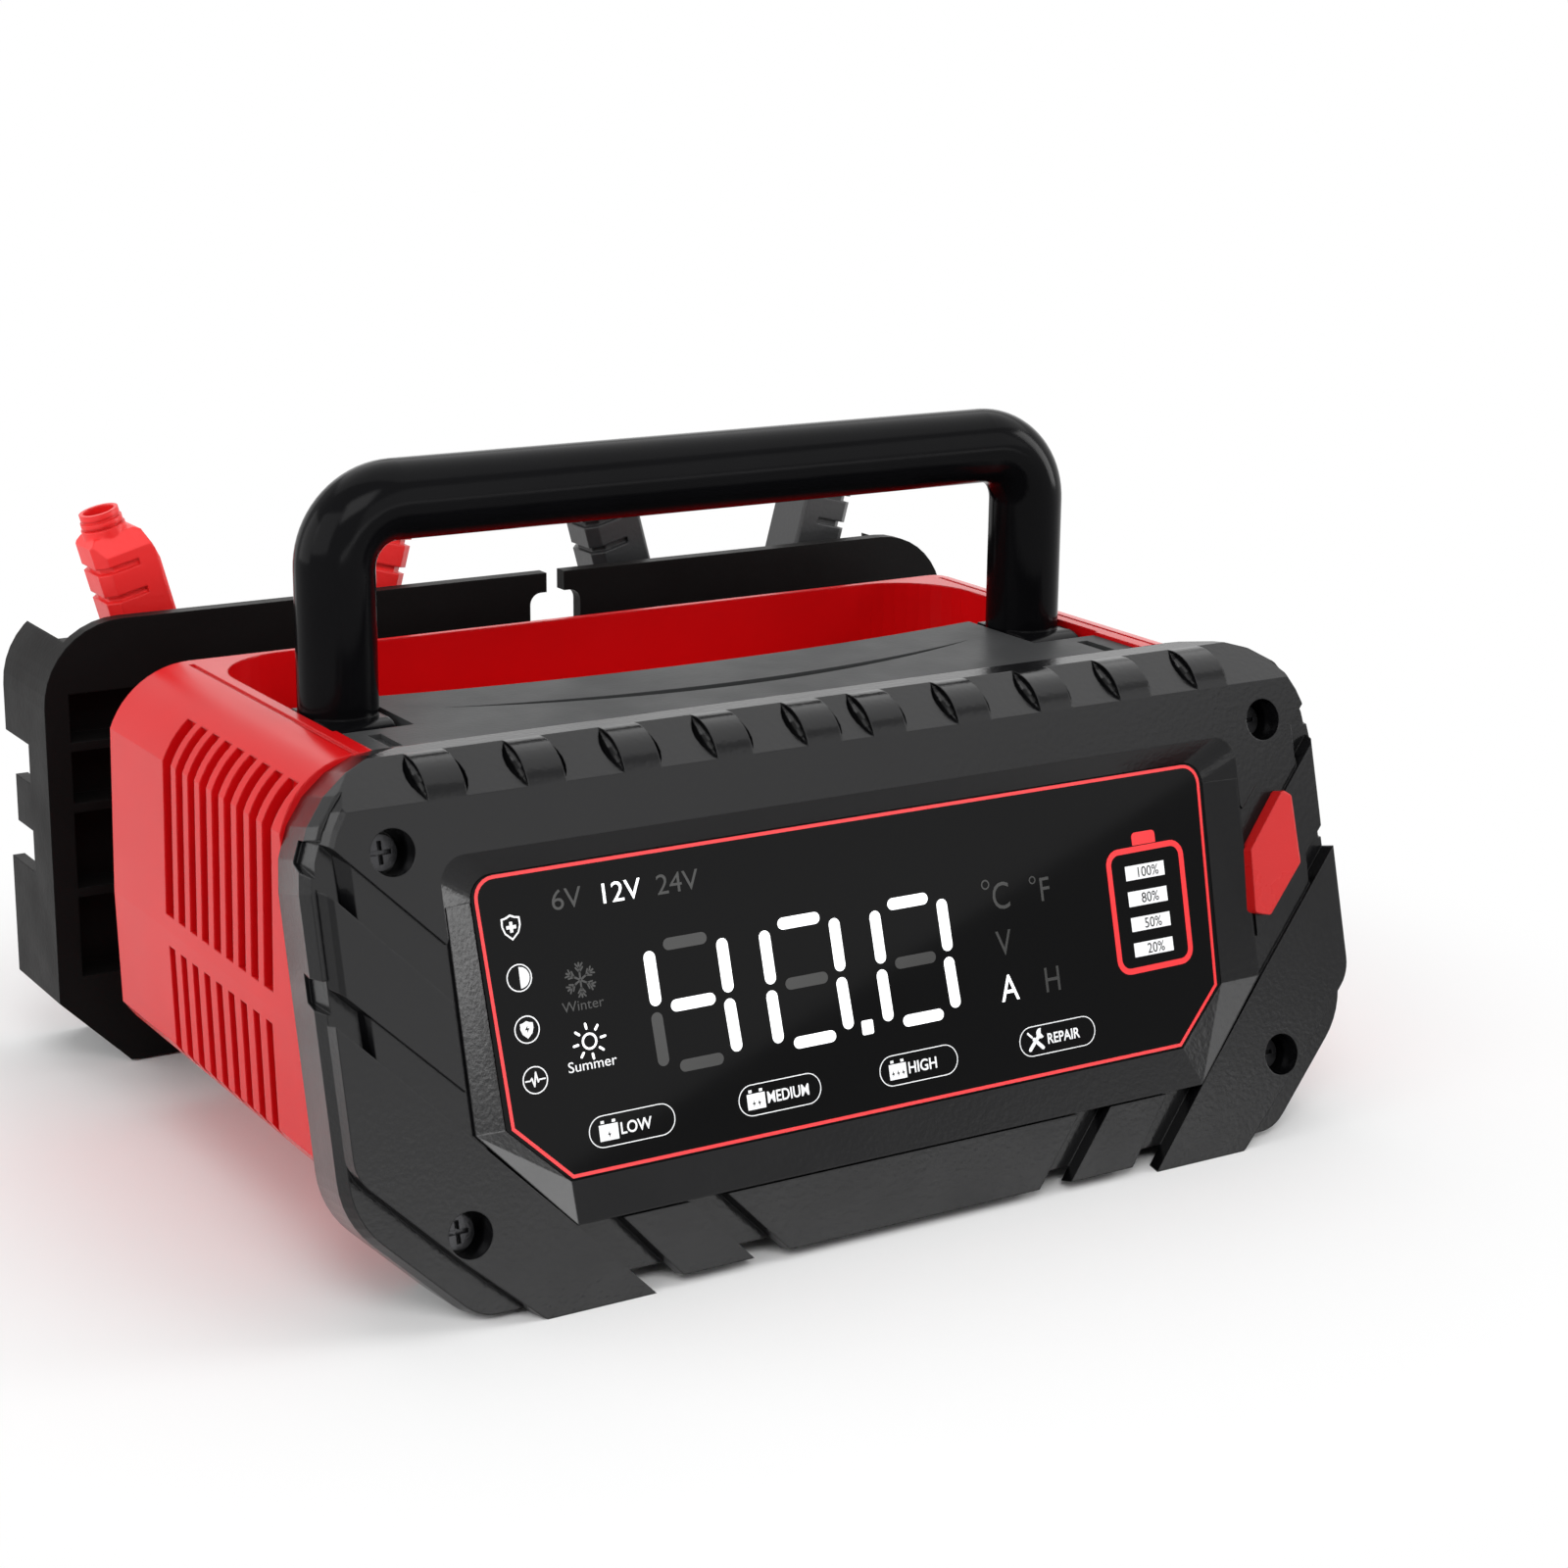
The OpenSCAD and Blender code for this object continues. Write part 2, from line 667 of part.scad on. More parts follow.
module deck_plate() {
    color([0.33, 0.34, 0.34])
    place() difference() {
        translate([0, 0, deck_z - deck_t]) linear_extrude(deck_t) union() {
            translate([-tray_w / 2 + 1, deck_y + fit / 2])
                square([tray_w - 2, slot_front - deck_y - fit / 2]);
            intersection() {
                land_2d();
                translate([-slot_in, slot_front - 1]) square([2 * slot_in, 60]);
            }
        }
        // crescent groove
        translate([0, 0, deck_z - 1.2]) linear_extrude(5) difference() {
            translate([0, slot_front - 2.9 + arc_r(13.4)]) circle(r = arc_r(13.4), $fn = 240);
            translate([0, slot_front + 0.5 + arc_r(10)]) circle(r = arc_r(10), $fn = 240);
            translate([-tray_w, slot_front + 10.5]) square([2 * tray_w, 1000]);
        }
        // short grooves beside the legs
        both_sides() translate([leg_x + 0.2, slot_front - 15, deck_z - 1.2]) cube([3, 11, 5]);
    }
}

// ---- handle ----------------------------------------------------------------------

module handle_half() {
    translate([leg_x, leg_y, pivot_z]) cylinder(d = grip_d, h = grip_z - bend_r - pivot_z);
    translate([leg_x - bend_r, leg_y, grip_z - bend_r]) rotate([90, 0, 0])
        rotate_extrude(angle = 90) translate([bend_r, 0]) circle(d = grip_d);
    translate([0, leg_y, grip_z]) rotate([0, 90, 0]) cylinder(d = grip_d, h = leg_x - bend_r);
    // foot round the pivot pin
    along_x(leg_x - grip_d / 2 + 1.2, leg_x + grip_d / 2 - 1.2) union() {
        translate([pivot_y, pivot_z]) circle(d = grip_d);
        polygon([[pivot_y, pivot_z - grip_d / 2], [leg_y + grip_d / 2 - 1, pivot_z + 2],
            [leg_y + grip_d / 2 - 1, pivot_z + grip_d / 2], [pivot_y, pivot_z + grip_d / 2]]);
    }
}

module handle() {
    color([0.03, 0.03, 0.035])
    place() difference() {
        both_sides() handle_half();
        // nothing of the foot reaches lower than its own turning circle
        both_sides() along_x(leg_x - 20, leg_x + 20)
            polygon([[pivot_y, pivot_z - grip_d / 2], [pivot_y + 60, pivot_z - grip_d / 2],
                [pivot_y + 60, pivot_z + 13], [leg_y + grip_d / 2, pivot_z + 2.2],
                [leg_y + grip_d / 2 - 1, pivot_z + 2]]);
        both_sides() along_x(leg_x - grip_d, tray_w) translate([pivot_y, pivot_z]) circle(d = pin_d + 2 * run);
    }
}

module handle_pins() {
    color([0.55, 0.56, 0.58])
    place() both_sides() along_x(leg_x - grip_d / 2 + 2, tray_w / 2 + 6.8)
        translate([pivot_y, pivot_z]) circle(d = pin_d);
}

// ---- rear cable drum and flange --------------------------------------------------

module drum_2d(t) {
    z1 = drum_z + drum_h - t;
    polygon(rounded([[-drum_w / 2 + t, drum_z + t, 10 - t], [drum_w / 2 - t, drum_z + t, 10 - t],
        [drum_w / 2 - t, z1, 10 - t], [-drum_w / 2 + t, z1, 10 - t]]));
}

module cable_drum() {
    color([0.07, 0.07, 0.08])
    place() difference() {
        union() {
            difference() {
                along_y(body_rear, flange_y) drum_2d(0);
                along_y(body_rear - 1, flange_y + 1) drum_2d(drum_wall);
            }
            // bosses of the rear screws
            rear_screw_spots() translate([0, flange_y - 14, 0]) rotate([-90, 0, 0])
                cylinder(d = 2 * (boss_in - drum_wall) + 1, h = 14);
        }
        rear_screw_spots() translate([0, flange_y - 12, 0]) rotate([-90, 0, 0])
            cylinder(d = screw_d, h = 13);
    }
}

module flange_2d(t) {
    f = flange_w / 2;
    polygon(rounded(sym([[f - 17.3 - t * 0.4, flange_low + t, 0], [f - t, flange_low + 17.3 + t * 0.4, 0],
        [f - t, flange_h - t, flange_r - t]]), 10));
}

module flange_side_cuts() {
    // two cable notches and the short tooth between them
    translate([flange_w / 2 - 8, flange_y + 13.5, 69.8]) cube([20, 40, 9.8]);
    translate([flange_w / 2 - 8, flange_y + 13.5, 47.7]) cube([20, 40, 10.4]);
    translate([flange_w / 2 - 8, rear_y - 6, 57]) cube([20, 40, 14]);
}

module flange_pocket() {
    translate([flange_w / 2 - pocket_in - pocket_w, flange_y - 1, 24])
        cube([pocket_w, 10.5, flange_h - 24 - 17]);
}

module rear_flange() {
    color([0.05, 0.05, 0.055])
    place() union() {
        difference() {
            union() {
                along_y(flange_y, flange_y + flange_t) flange_2d(0);
                difference() {
                    along_y(flange_y, rear_y) flange_2d(0);
                    along_y(flange_y - 1, rear_y + 1) flange_2d(skirt_wall);
                    translate([-flange_w / 2 + skirt_in, flange_y + flange_t, flange_h - 30])
                        cube([flange_w - 2 * skirt_in, 100, 60]);
                }
                // pocket boxes at both sides
                both_sides() intersection() {
                    along_y(flange_y, flange_y + 12) flange_2d(0);
                    translate([flange_w / 2 - pocket_in - pocket_w - 2.5, flange_y, 0])
                        cube([60, 12, flange_h - 6]);
                }
            }
            both_sides() flange_side_cuts();
            both_sides() flange_pocket();
            // cable slot with its hooked mouth
            translate([slot_x - slot_mouth / 2, flange_y - 1, flange_h - 12]) cube([slot_mouth, 20, 30]);
            translate([slot_x, 0, 0]) along_y(flange_y - 1, flange_y + 12) polygon(rounded([
                [-slot_w / 2, flange_h - 21, 3], [slot_w / 2, flange_h - 21, 3],
                [slot_w / 2, flange_h - 5, 3], [-slot_w / 2, flange_h - 5, 3]]));
            // seats of the lead glands
            both_sides() translate([gland_d, flange_y - 1, gland_z])
                rotate([-90, 0, 0]) cylinder(d = gland_d + 0.2, h = flange_t + 2);
            // bores of the rear screws
            rear_screw_spots() translate([0, flange_y - 1, 0]) rotate([-90, 0, 0])
                cylinder(d = screw_d + 0.5, h = flange_t + 2);
            // seats of the feet
            both_sides() translate([flange_w / 2 - 36 - fit, flange_y + 6 - fit, -1])
                cube([14 + 2 * fit, 18 + 2 * fit, 2.4]);
        }
        // shelf ribs across the pockets
        both_sides() for (z = [44, 65, 80])
            translate([flange_w / 2 - pocket_in - pocket_w - 0.5, flange_y, z]) cube([pocket_w + 1, 10, 2.2]);
    }
}

// cradle of each clamp: a block behind it and a step under its nose
module clamp_rests() {
    color([0.05, 0.05, 0.055])
    place() both_sides() translate([clamp_x, flange_y + flange_t, 0]) {
        translate([-9, 0, step_z + 8]) cube([18, pad_y - flange_y - flange_t, 26]);
        translate([-14, 0, step_z]) cube([28, skirt_t - flange_t, 2]);
    }
}

module rear_screw_spots() {
    for (x = [-1, 1] * (drum_w / 2 - boss_in), z = [boss_in, drum_h - boss_in])
        translate([x, 0, drum_z + z]) children();
}

module rear_screws() {
    color([0.25, 0.25, 0.27])
    place() rear_screw_spots() translate([0, flange_y + flange_t, 0]) rotate([-90, 0, 0])
        screw(flange_t + 10);
}

module rear_feet() {
    color([0.04, 0.04, 0.04])
    place() both_sides() translate([flange_w / 2 - 36, flange_y + 6, 0]) cube([14, 18, 1.4]);
}

// two threaded glands where the leads come out, open through the middle
module lead_glands() {
    color([0.09, 0.09, 0.10])
    place() both_sides() translate([gland_d, flange_y - 6, gland_z]) rotate([-90, 0, 0]) difference() {
        union() {
            cylinder(d = gland_d, h = flange_t + 14);
            translate([0, 0, 6 + flange_t]) cylinder(d = gland_d * 1.25, h = 5, $fn = 6);
        }
        translate([0, 0, -1]) cylinder(d = gland_d * 0.53, h = 40);
    }
}

// ---- inside ----------------------------------------------------------------------

module board_spots() {
    for (x = [-1, 1] * (board_w / 2 - 12), y = [6, board_d - 8])
        translate([x, board_y + y, 0]) children();
}

module main_board() {
    color([0.05, 0.32, 0.14])
    place() difference() {
        translate([-board_w / 2, board_y, board_z]) cube([board_w, board_d, board_t]);
        board_spots() translate([0, 0, board_z - 1]) cylinder(d = 3.2, h = 5);
    }
}

module transformer() {
    w = board_w * 0.25;
    d = board_d * 0.55;
    slots = [d * 0.2, d * 0.61];
    color([0.45, 0.42, 0.30])
    place() translate([-board_w * 0.325, board_y + board_d * 0.225, board_z + board_t]) {
        difference() {
            cube([w, d, core_h]);
            for (y = slots) translate([-1, y, core_h * 0.2]) cube([w + 2, d * 0.18, core_h * 0.6]);
        }
        // windings in the core's two windows
        for (y = slots) translate([-2, y + 0.2, core_h * 0.2 + 0.01])
            cube([w + 4, d * 0.18 - 0.4, core_h * 0.6 - 0.4]);
    }
}

module heat_sink() {
    w = board_w * 0.275;
    color([0.70, 0.71, 0.73])
    place() translate([board_w * 0.1875, board_y + 6, board_z + board_t]) {
        cube([w, board_d * 0.85, 4]);
        for (i = [0 : 8]) translate([i * (w - 2) / 8, 0, 3]) cube([2, board_d * 0.85, fin_h - 3]);
    }
}

module capacitors() {
    color([0.10, 0.16, 0.30])
    place() for (i = [0 : 2])
        translate([board_w * 0.05, board_y + 14 + i * board_d * 0.275, board_z + board_t]) {
            cylinder(d = can_d, h = can_h);
            translate([0, 0, can_h - 0.5]) cylinder(d = can_d * 0.82, h = 1);
        }
}

fan_y = vent_y + vent_pitch * (vent_count - 1) / 2;
fan_z = body_low + 19 + fan_size / 2;
fan_x = -hw + side_lean + body_wall + fit;

module fan_frame() {
    color([0.06, 0.06, 0.07])
    place() translate([fan_x, fan_y, fan_z]) rotate([90, 0, 90]) {
        difference() {
            translate([-fan_size / 2, -fan_size / 2, 0]) cube([fan_size, fan_size, fan_t]);
            translate([0, 0, -1]) cylinder(d = fan_size - 3, h = fan_t + 2);
            for (x = [-1, 1], y = [-1, 1]) translate([x, y, 0] * (fan_size / 2 - 4))
                translate([0, 0, -1]) cylinder(d = 4, h = fan_t + 2);
        }
        // motor seat, its struts and the shaft
        translate([0, 0, fan_t - 2]) cylinder(d = fan_size * 0.4, h = 2);
        for (a = [45 : 90 : 315]) rotate([0, 0, a])
            translate([fan_size * 0.18, -1.5, fan_t - 2]) cube([fan_size * 0.31, 3, 2]);
        translate([0, 0, 4]) cylinder(d = 3, h = fan_t - 4);
    }
}

module fan_rotor() {
    color([0.12, 0.12, 0.13])
    place() translate([fan_x, fan_y, fan_z]) rotate([90, 0, 90]) difference() {
        union() {
            translate([0, 0, 2]) cylinder(d = fan_size * 0.38, h = fan_t - 5);
            for (i = [0 : fan_blades - 1]) rotate([0, 0, i * 360 / fan_blades])
                translate([fan_size * 0.17, 0, fan_t / 2 - 0.5]) rotate([38, 0, 0])
                    translate([0, -fan_size * 0.11, -0.7]) cube([fan_size * 0.27, fan_size * 0.22, 1.4]);
        }
        translate([0, 0, 3.9]) cylinder(d = 3 + 2 * run, h = fan_t);
    }
}

// ---- clamps ----------------------------------------------------------------------

module at_clamp(s) {
    translate([s * clamp_x, clamp_y, clamp_z]) children();
}

// x-z outline of the moulded boot on the +x arm
module boot_2d() {
    polygon([[3.2, -jaw_len], [7, -jaw_len], [9.6, -jaw_len + 4], [10.4, -jaw_len + 12],
        [12.4, -jaw_len + 15], [13.4, -6], [grip_in + 0.5, 4], [grip_in + 9.6, 16], [grip_in + 9, 26],
        [grip_in - 0.4, 26], [grip_in - 8.4, 12], [3.2, 5]]);
}

// the handle of one arm, along its own axis
module grip_2d() {
    w = arm_w / 2;
    polygon([[-w + 1.4, 13], [-w, 20], [-w, arm_len - 14.3], [-w + 2.1, arm_len - 6.4],
        [-w + 3.5, arm_len - 5.5], [w - 1.9, arm_len - 5.5], [w, arm_len - 7.2], [w, 20], [w - 3, 12]]);
}

module grip_side_2d() {
    w = clamp_t / 2;
    polygon([[-w + 0.8, 10], [-w + 0.8, 28], [-w, 30], [-w, arm_len - 10], [-w + 2.8, arm_len - 5.5],
        [w - 2.8, arm_len - 5.5], [w, arm_len - 10], [w, 30], [w - 0.8, 28], [w - 0.8, 10]]);
}

// cross-section of the handle, bevelled on its outer side
module grip_plan_2d(t = 0) {
    w = arm_w / 2 - t;
    d = clamp_t / 2 - t;
    polygon([[-w, -d + 0.8], [-w + 0.8, -d], [w - 2.7, -d], [w, -d + 2.7], [w, d - 2.7], [w - 2.7, d],
        [-w + 0.8, d], [-w, d - 0.8]]);
}

module on_grip() {
    translate([grip_in, 0, 0]) rotate([0, arm_lean, 0]) children();
}

// one arm: outer ears for arm a, inner ears for arm b
module arm(outer) {
    y0 = outer ? 5.75 : 3.5;
    y1 = outer ? clamp_t / 2 : 5.45;
    difference() {
        union() {
            along_y(-clamp_t / 2, clamp_t / 2) boot_2d();
            on_grip() difference() {
                intersection() {
                    along_y(-clamp_t, clamp_t) grip_2d();
                    along_x(-arm_w, arm_w) grip_side_2d();
                    linear_extrude(arm_len) grip_plan_2d();
                }
                // two grip grooves, round the outer side
                for (i = [0 : 1]) translate([0, 0, arm_len - 14.1 - i * 7.2]) difference() {
                    translate([-2.4, -clamp_t, 0]) cube([arm_w, clamp_t * 2, 1.6]);
                    translate([0, 0, -1]) linear_extrude(4) grip_plan_2d(1.1);
                }
            }
            // neck for the lead, with two grooves
            on_grip() translate([1.4, 0, arm_len - 7.5]) {
                cylinder(d = neck_bore + 1.2, h = 7.5);
                cylinder(d = neck_bore + 3.2, h = 3.6);
                translate([0, 0, 4.2]) cylinder(d = neck_bore + 2.6, h = 1.2);
                translate([0, 0, 6]) cylinder(d = neck_bore + 2, h = 1.5);
            }
        }
        // room for the other arm's ears and for the spring
        along_y(-clamp_t, clamp_t) circle(r = core_r);
        // bore of the neck
        on_grip() translate([1.4, 0, arm_len - 9]) cylinder(d = neck_bore, h = 30);
        on_grip() translate([1.4, 0, arm_len - 20]) cylinder(d = neck_bore - 3, h = 30);
    }
    // ears round the hinge pin
    for (s = [-1, 1]) along_y(s > 0 ? y0 : -y1, s > 0 ? y1 : -y0) difference() {
        union() {
            circle(r = ear_r);
            translate([0, -ear_r + 1]) square([core_r + 1.6, 2 * ear_r - 2]);
        }
        circle(d = hinge_d + (outer ? 0.02 : 2 * run));
    }
}

// copper lining of one jaw, with its teeth
module jaw() {
    n = floor((jaw_len - 12) / 4);
    along_y(-copper_w / 2, copper_w / 2) polygon(concat(
        [[3.2, -jaw_len + 1], [3.2, -8.4], [1.6, -8.4]],
        [for (i = [0 : n - 1]) each [[gap, -10 - i * 4], [2, -12 - i * 4]]],
        [[gap, -jaw_len + 1]]));
}

module hinge_pin() {
    along_y(-clamp_t / 2 - 0.2, clamp_t / 2 + 0.2) circle(d = hinge_d);
}

// torsion spring: one wire wound round the pin, with a tail at each end
spring_r = hinge_d / 2 + 0.5 + wire_d / 2;
spring_turns = 2.5;
spring_pitch = wire_d + 0.5;
spring_n = 8;
spring_path = concat(
    [[spring_r, -spring_turns * spring_pitch / 2, 5.4]],
    [for (i = [0 : spring_turns * spring_n])
        [spring_r * cos(360 * i / spring_n), (i / spring_n - spring_turns / 2) * spring_pitch,
            -spring_r * sin(360 * i / spring_n)]],
    [[-spring_r, spring_turns * spring_pitch / 2, 5.4]]);
echo(spring_gap = spring_pitch - wire_d);

function ring(p, t, r, n) =
    let(a = unit(cross(t, [0.1, 1, 0.2])), b = unit(cross(t, a)))
    [for (i = [0 : n - 1]) p + r * (cos(360 * i / n) * a + sin(360 * i / n) * b)];

module wire(path, r, n) {
    m = len(path);
    pts = [for (i = [0 : m - 1])
        let(t = unit(path[min(i + 1, m - 1)] - path[max(i - 1, 0)])) each ring(path[i], t, r, n)];
    polyhedron(pts, concat(
        [[for (i = [0 : n - 1]) i]],
        [for (k = [0 : m - 2], i = [0 : n - 1]) each [
            [k * n + i, (k + 1) * n + i, (k + 1) * n + (i + 1) % n],
            [k * n + i, (k + 1) * n + (i + 1) % n, k * n + (i + 1) % n]]],
        [[for (i = [n - 1 : -1 : 0]) (m - 1) * n + i]]));
}

module clamp_arm_a(s) { place() at_clamp(s) mirror([1, 0, 0]) arm(true); }
module clamp_arm_b(s) { place() at_clamp(s) arm(false); }
module clamp_jaw_a(s) { place() at_clamp(s) mirror([1, 0, 0]) jaw(); }
module clamp_jaw_b(s) { place() at_clamp(s) jaw(); }
module clamp_pin(s) { place() at_clamp(s) hinge_pin(); }
module clamp_spring(s) { place() at_clamp(s) wire(spring_path, wire_d / 2, 6); }

module red_arm_a() { color([0.80, 0.05, 0.06]) clamp_arm_a(-1); }
module red_arm_b() { color([0.80, 0.05, 0.06]) clamp_arm_b(-1); }
module red_jaw_a() { color([0.75, 0.50, 0.25]) clamp_jaw_a(-1); }
module red_jaw_b() { color([0.75, 0.50, 0.25]) clamp_jaw_b(-1); }
module red_pin() { color([0.60, 0.61, 0.63]) clamp_pin(-1); }
module red_spring() { color([0.60, 0.61, 0.63]) clamp_spring(-1); }
module black_arm_a() { color([0.06, 0.06, 0.07]) clamp_arm_a(1); }
module black_arm_b() { color([0.06, 0.06, 0.07]) clamp_arm_b(1); }
module black_jaw_a() { color([0.75, 0.50, 0.25]) clamp_jaw_a(1); }
module black_jaw_b() { color([0.75, 0.50, 0.25]) clamp_jaw_b(1); }
module black_pin() { color([0.60, 0.61, 0.63]) clamp_pin(1); }
module black_spring() { color([0.60, 0.61, 0.63]) clamp_spring(1); }

front_bezel();
bezel_back();
display_glass();
display_board();
side_accent();
front_screws();
housing();
deck_plate();
handle();
handle_pins();
cable_drum();
rear_flange();
clamp_rests();
rear_feet();
rear_screws();
lead_glands();
main_board();
transformer();
heat_sink();
capacitors();
fan_frame();
fan_rotor();
red_arm_a();
red_arm_b();
red_jaw_a();
red_jaw_b();
red_pin();
red_spring();
black_arm_a();
black_arm_b();
black_jaw_a();
black_jaw_b();
black_pin();
black_spring();
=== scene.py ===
import bpy, bmesh, math
from mathutils import Matrix, Vector


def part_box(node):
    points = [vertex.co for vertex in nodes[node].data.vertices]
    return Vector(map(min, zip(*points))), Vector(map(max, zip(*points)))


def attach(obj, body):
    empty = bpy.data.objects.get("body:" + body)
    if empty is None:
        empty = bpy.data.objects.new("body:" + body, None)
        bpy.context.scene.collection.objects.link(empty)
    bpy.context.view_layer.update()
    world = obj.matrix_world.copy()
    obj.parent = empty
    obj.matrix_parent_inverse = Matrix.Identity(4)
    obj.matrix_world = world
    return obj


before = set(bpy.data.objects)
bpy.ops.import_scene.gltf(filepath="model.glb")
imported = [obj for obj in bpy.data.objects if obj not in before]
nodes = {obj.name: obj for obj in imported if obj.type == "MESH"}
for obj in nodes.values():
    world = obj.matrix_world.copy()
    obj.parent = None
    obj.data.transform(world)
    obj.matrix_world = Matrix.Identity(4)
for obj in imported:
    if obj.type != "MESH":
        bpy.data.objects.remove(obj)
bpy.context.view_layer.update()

# ---- the face's own frame: u across, v up the face, w out of it, in millimetres ------
MM = 0.001
LEAN = math.radians(14.8)       # the face leans back by this
FACE_FOOT = 17                  # height at which the face's frame starts
BACK_Y = 208.5                  # rear edge of the flange, behind that start
MID_Y = (-FACE_FOOT * math.tan(LEAN) + BACK_Y) / 2
FACE = (Matrix.Translation((0, -MID_Y * MM, FACE_FOOT * MM))
        @ Matrix.Rotation(math.pi / 2 - LEAN, 4, 'X') @ Matrix.Scale(MM, 4))
GLASS_W = -3.8                  # front of the window's glass


def link(ob):
    bpy.context.scene.collection.objects.link(ob)


# ---- camera --------------------------------------------------------------------------
PHOTO_PX = 1600
FOCAL_PX = 3202.54
SENSOR_MM = 36
CAM_TURN = (-31.629, 15.296, 0.611)         # azimuth, elevation and roll, in degrees
CAM_OFFSET = (26.963, -78.562, 675.11)      # the face's foot lies right, up and ahead by this, mm


def make_camera():
    az, el, roll = map(math.radians, CAM_TURN)
    tx, ty, dist = CAM_OFFSET
    back = Vector((math.sin(az) * math.cos(el), -math.cos(az) * math.cos(el), math.sin(el)))
    right = Vector((math.cos(az), math.sin(az), 0))
    up = back.cross(right)
    r2 = right * math.cos(roll) + up * math.sin(roll)
    u2 = -right * math.sin(roll) + up * math.cos(roll)
    pos = r2 * -tx + u2 * -ty + back * dist + Vector((0, -MID_Y, FACE_FOOT))
    data = bpy.data.cameras.new("Camera")
    data.sensor_fit = 'HORIZONTAL'
    data.sensor_width = SENSOR_MM
    data.lens = FOCAL_PX * SENSOR_MM / PHOTO_PX
    data.clip_start = 0.01
    data.clip_end = 50
    cam = bpy.data.objects.new("Camera", data)
    m = Matrix((r2, u2, back)).transposed().to_4x4()
    m.translation = pos * MM
    cam.matrix_world = m
    link(cam)
    bpy.context.scene.camera = cam


make_camera()


# ---- materials -----------------------------------------------------------------------
def node_tree(name):
    m = bpy.data.materials.new(name)
    m.use_nodes = True
    nt = m.node_tree
    return m, nt, nt.nodes["Principled BSDF"]


def add(nt, kind, **props):
    n = nt.nodes.new(kind)
    for k, v in props.items():
        setattr(n, k, v)
    return n


def moulded(name, colour, rough, vary=0.12, rvary=0.05, grain=0.00004, scale=900.0,
            radius=0.0004, metal=0.0, spec=0.5, clouds=22.0, ior=1.5):
    """Plastic or metal with a cloudy tone, uneven gloss, a fine grain and soft edges."""
    m, nt, p = node_tree(name)
    wire = nt.links.new
    geo = add(nt, 'ShaderNodeTexCoord')
    big = add(nt, 'ShaderNodeTexNoise')
    big.inputs['Scale'].default_value = clouds
    big.inputs['Detail'].default_value = 3
    wire(geo.outputs['Object'], big.inputs['Vector'])
    ramp = add(nt, 'ShaderNodeMapRange')
    ramp.inputs['From Min'].default_value = 0.3
    ramp.inputs['From Max'].default_value = 0.7
    ramp.inputs['To Min'].default_value = 1 - vary
    ramp.inputs['To Max'].default_value = 1 + vary
    wire(big.outputs['Fac'], ramp.inputs['Value'])
    tint = add(nt, 'ShaderNodeMix', data_type='RGBA', blend_type='MULTIPLY')
    tint.inputs[0].default_value = 1.0
    tint.inputs[6].default_value = (*colour, 1)
    wire(ramp.outputs['Result'], tint.inputs[7])
    wire(tint.outputs[2], p.inputs['Base Color'])
    r = add(nt, 'ShaderNodeMapRange')
    r.inputs['From Min'].default_value = 0.3
    r.inputs['From Max'].default_value = 0.7
    r.inputs['To Min'].default_value = max(rough - rvary, 0.02)
    r.inputs['To Max'].default_value = rough + rvary
    mid = add(nt, 'ShaderNodeTexNoise')
    mid.inputs['Scale'].default_value = 70
    mid.inputs['Detail'].default_value = 4
    wire(geo.outputs['Object'], mid.inputs['Vector'])
    wire(mid.outputs['Fac'], r.inputs['Value'])
    wire(r.outputs['Result'], p.inputs['Roughness'])
    fine = add(nt, 'ShaderNodeTexNoise')
    fine.inputs['Scale'].default_value = scale
    fine.inputs['Detail'].default_value = 2
    wire(geo.outputs['Object'], fine.inputs['Vector'])
    bump = add(nt, 'ShaderNodeBump')
    bump.inputs['Strength'].default_value = 1.0
    bump.inputs['Distance'].default_value = grain
    wire(fine.outputs['Fac'], bump.inputs['Height'])
    if radius:
        bev = add(nt, 'ShaderNodeBevel', samples=4)
        bev.inputs['Radius'].default_value = radius
        wire(bev.outputs['Normal'], bump.inputs['Normal'])
    wire(bump.outputs['Normal'], p.inputs['Normal'])
    p.inputs['Metallic'].default_value = metal
    p.inputs['Specular IOR Level'].default_value = spec
    p.inputs['IOR'].default_value = ior
    return m


def lit(name, colour, strength, rough=0.12):
    """A printed or lit mark on the window, with a smooth surface."""
    m, nt, p = node_tree(name)
    geo = add(nt, 'ShaderNodeTexCoord')
    n = add(nt, 'ShaderNodeTexNoise')
    n.inputs['Scale'].default_value = 400
    nt.links.new(geo.outputs['Object'], n.inputs['Vector'])
    mr = add(nt, 'ShaderNodeMapRange')
    mr.inputs['To Min'].default_value = 0.92
    mr.inputs['To Max'].default_value = 1.0
    nt.links.new(n.outputs['Fac'], mr.inputs['Value'])
    mix = add(nt, 'ShaderNodeMix', data_type='RGBA', blend_type='MULTIPLY')
    mix.inputs[0].default_value = 1.0
    mix.inputs[6].default_value = (*colour, 1)
    nt.links.new(mr.outputs['Result'], mix.inputs[7])
    nt.links.new(mix.outputs[2], p.inputs['Base Color'])
    p.inputs['Roughness'].default_value = rough
    if strength:
        nt.links.new(mix.outputs[2], p.inputs['Emission Color'])
        p.inputs['Emission Strength'].default_value = strength
    return m


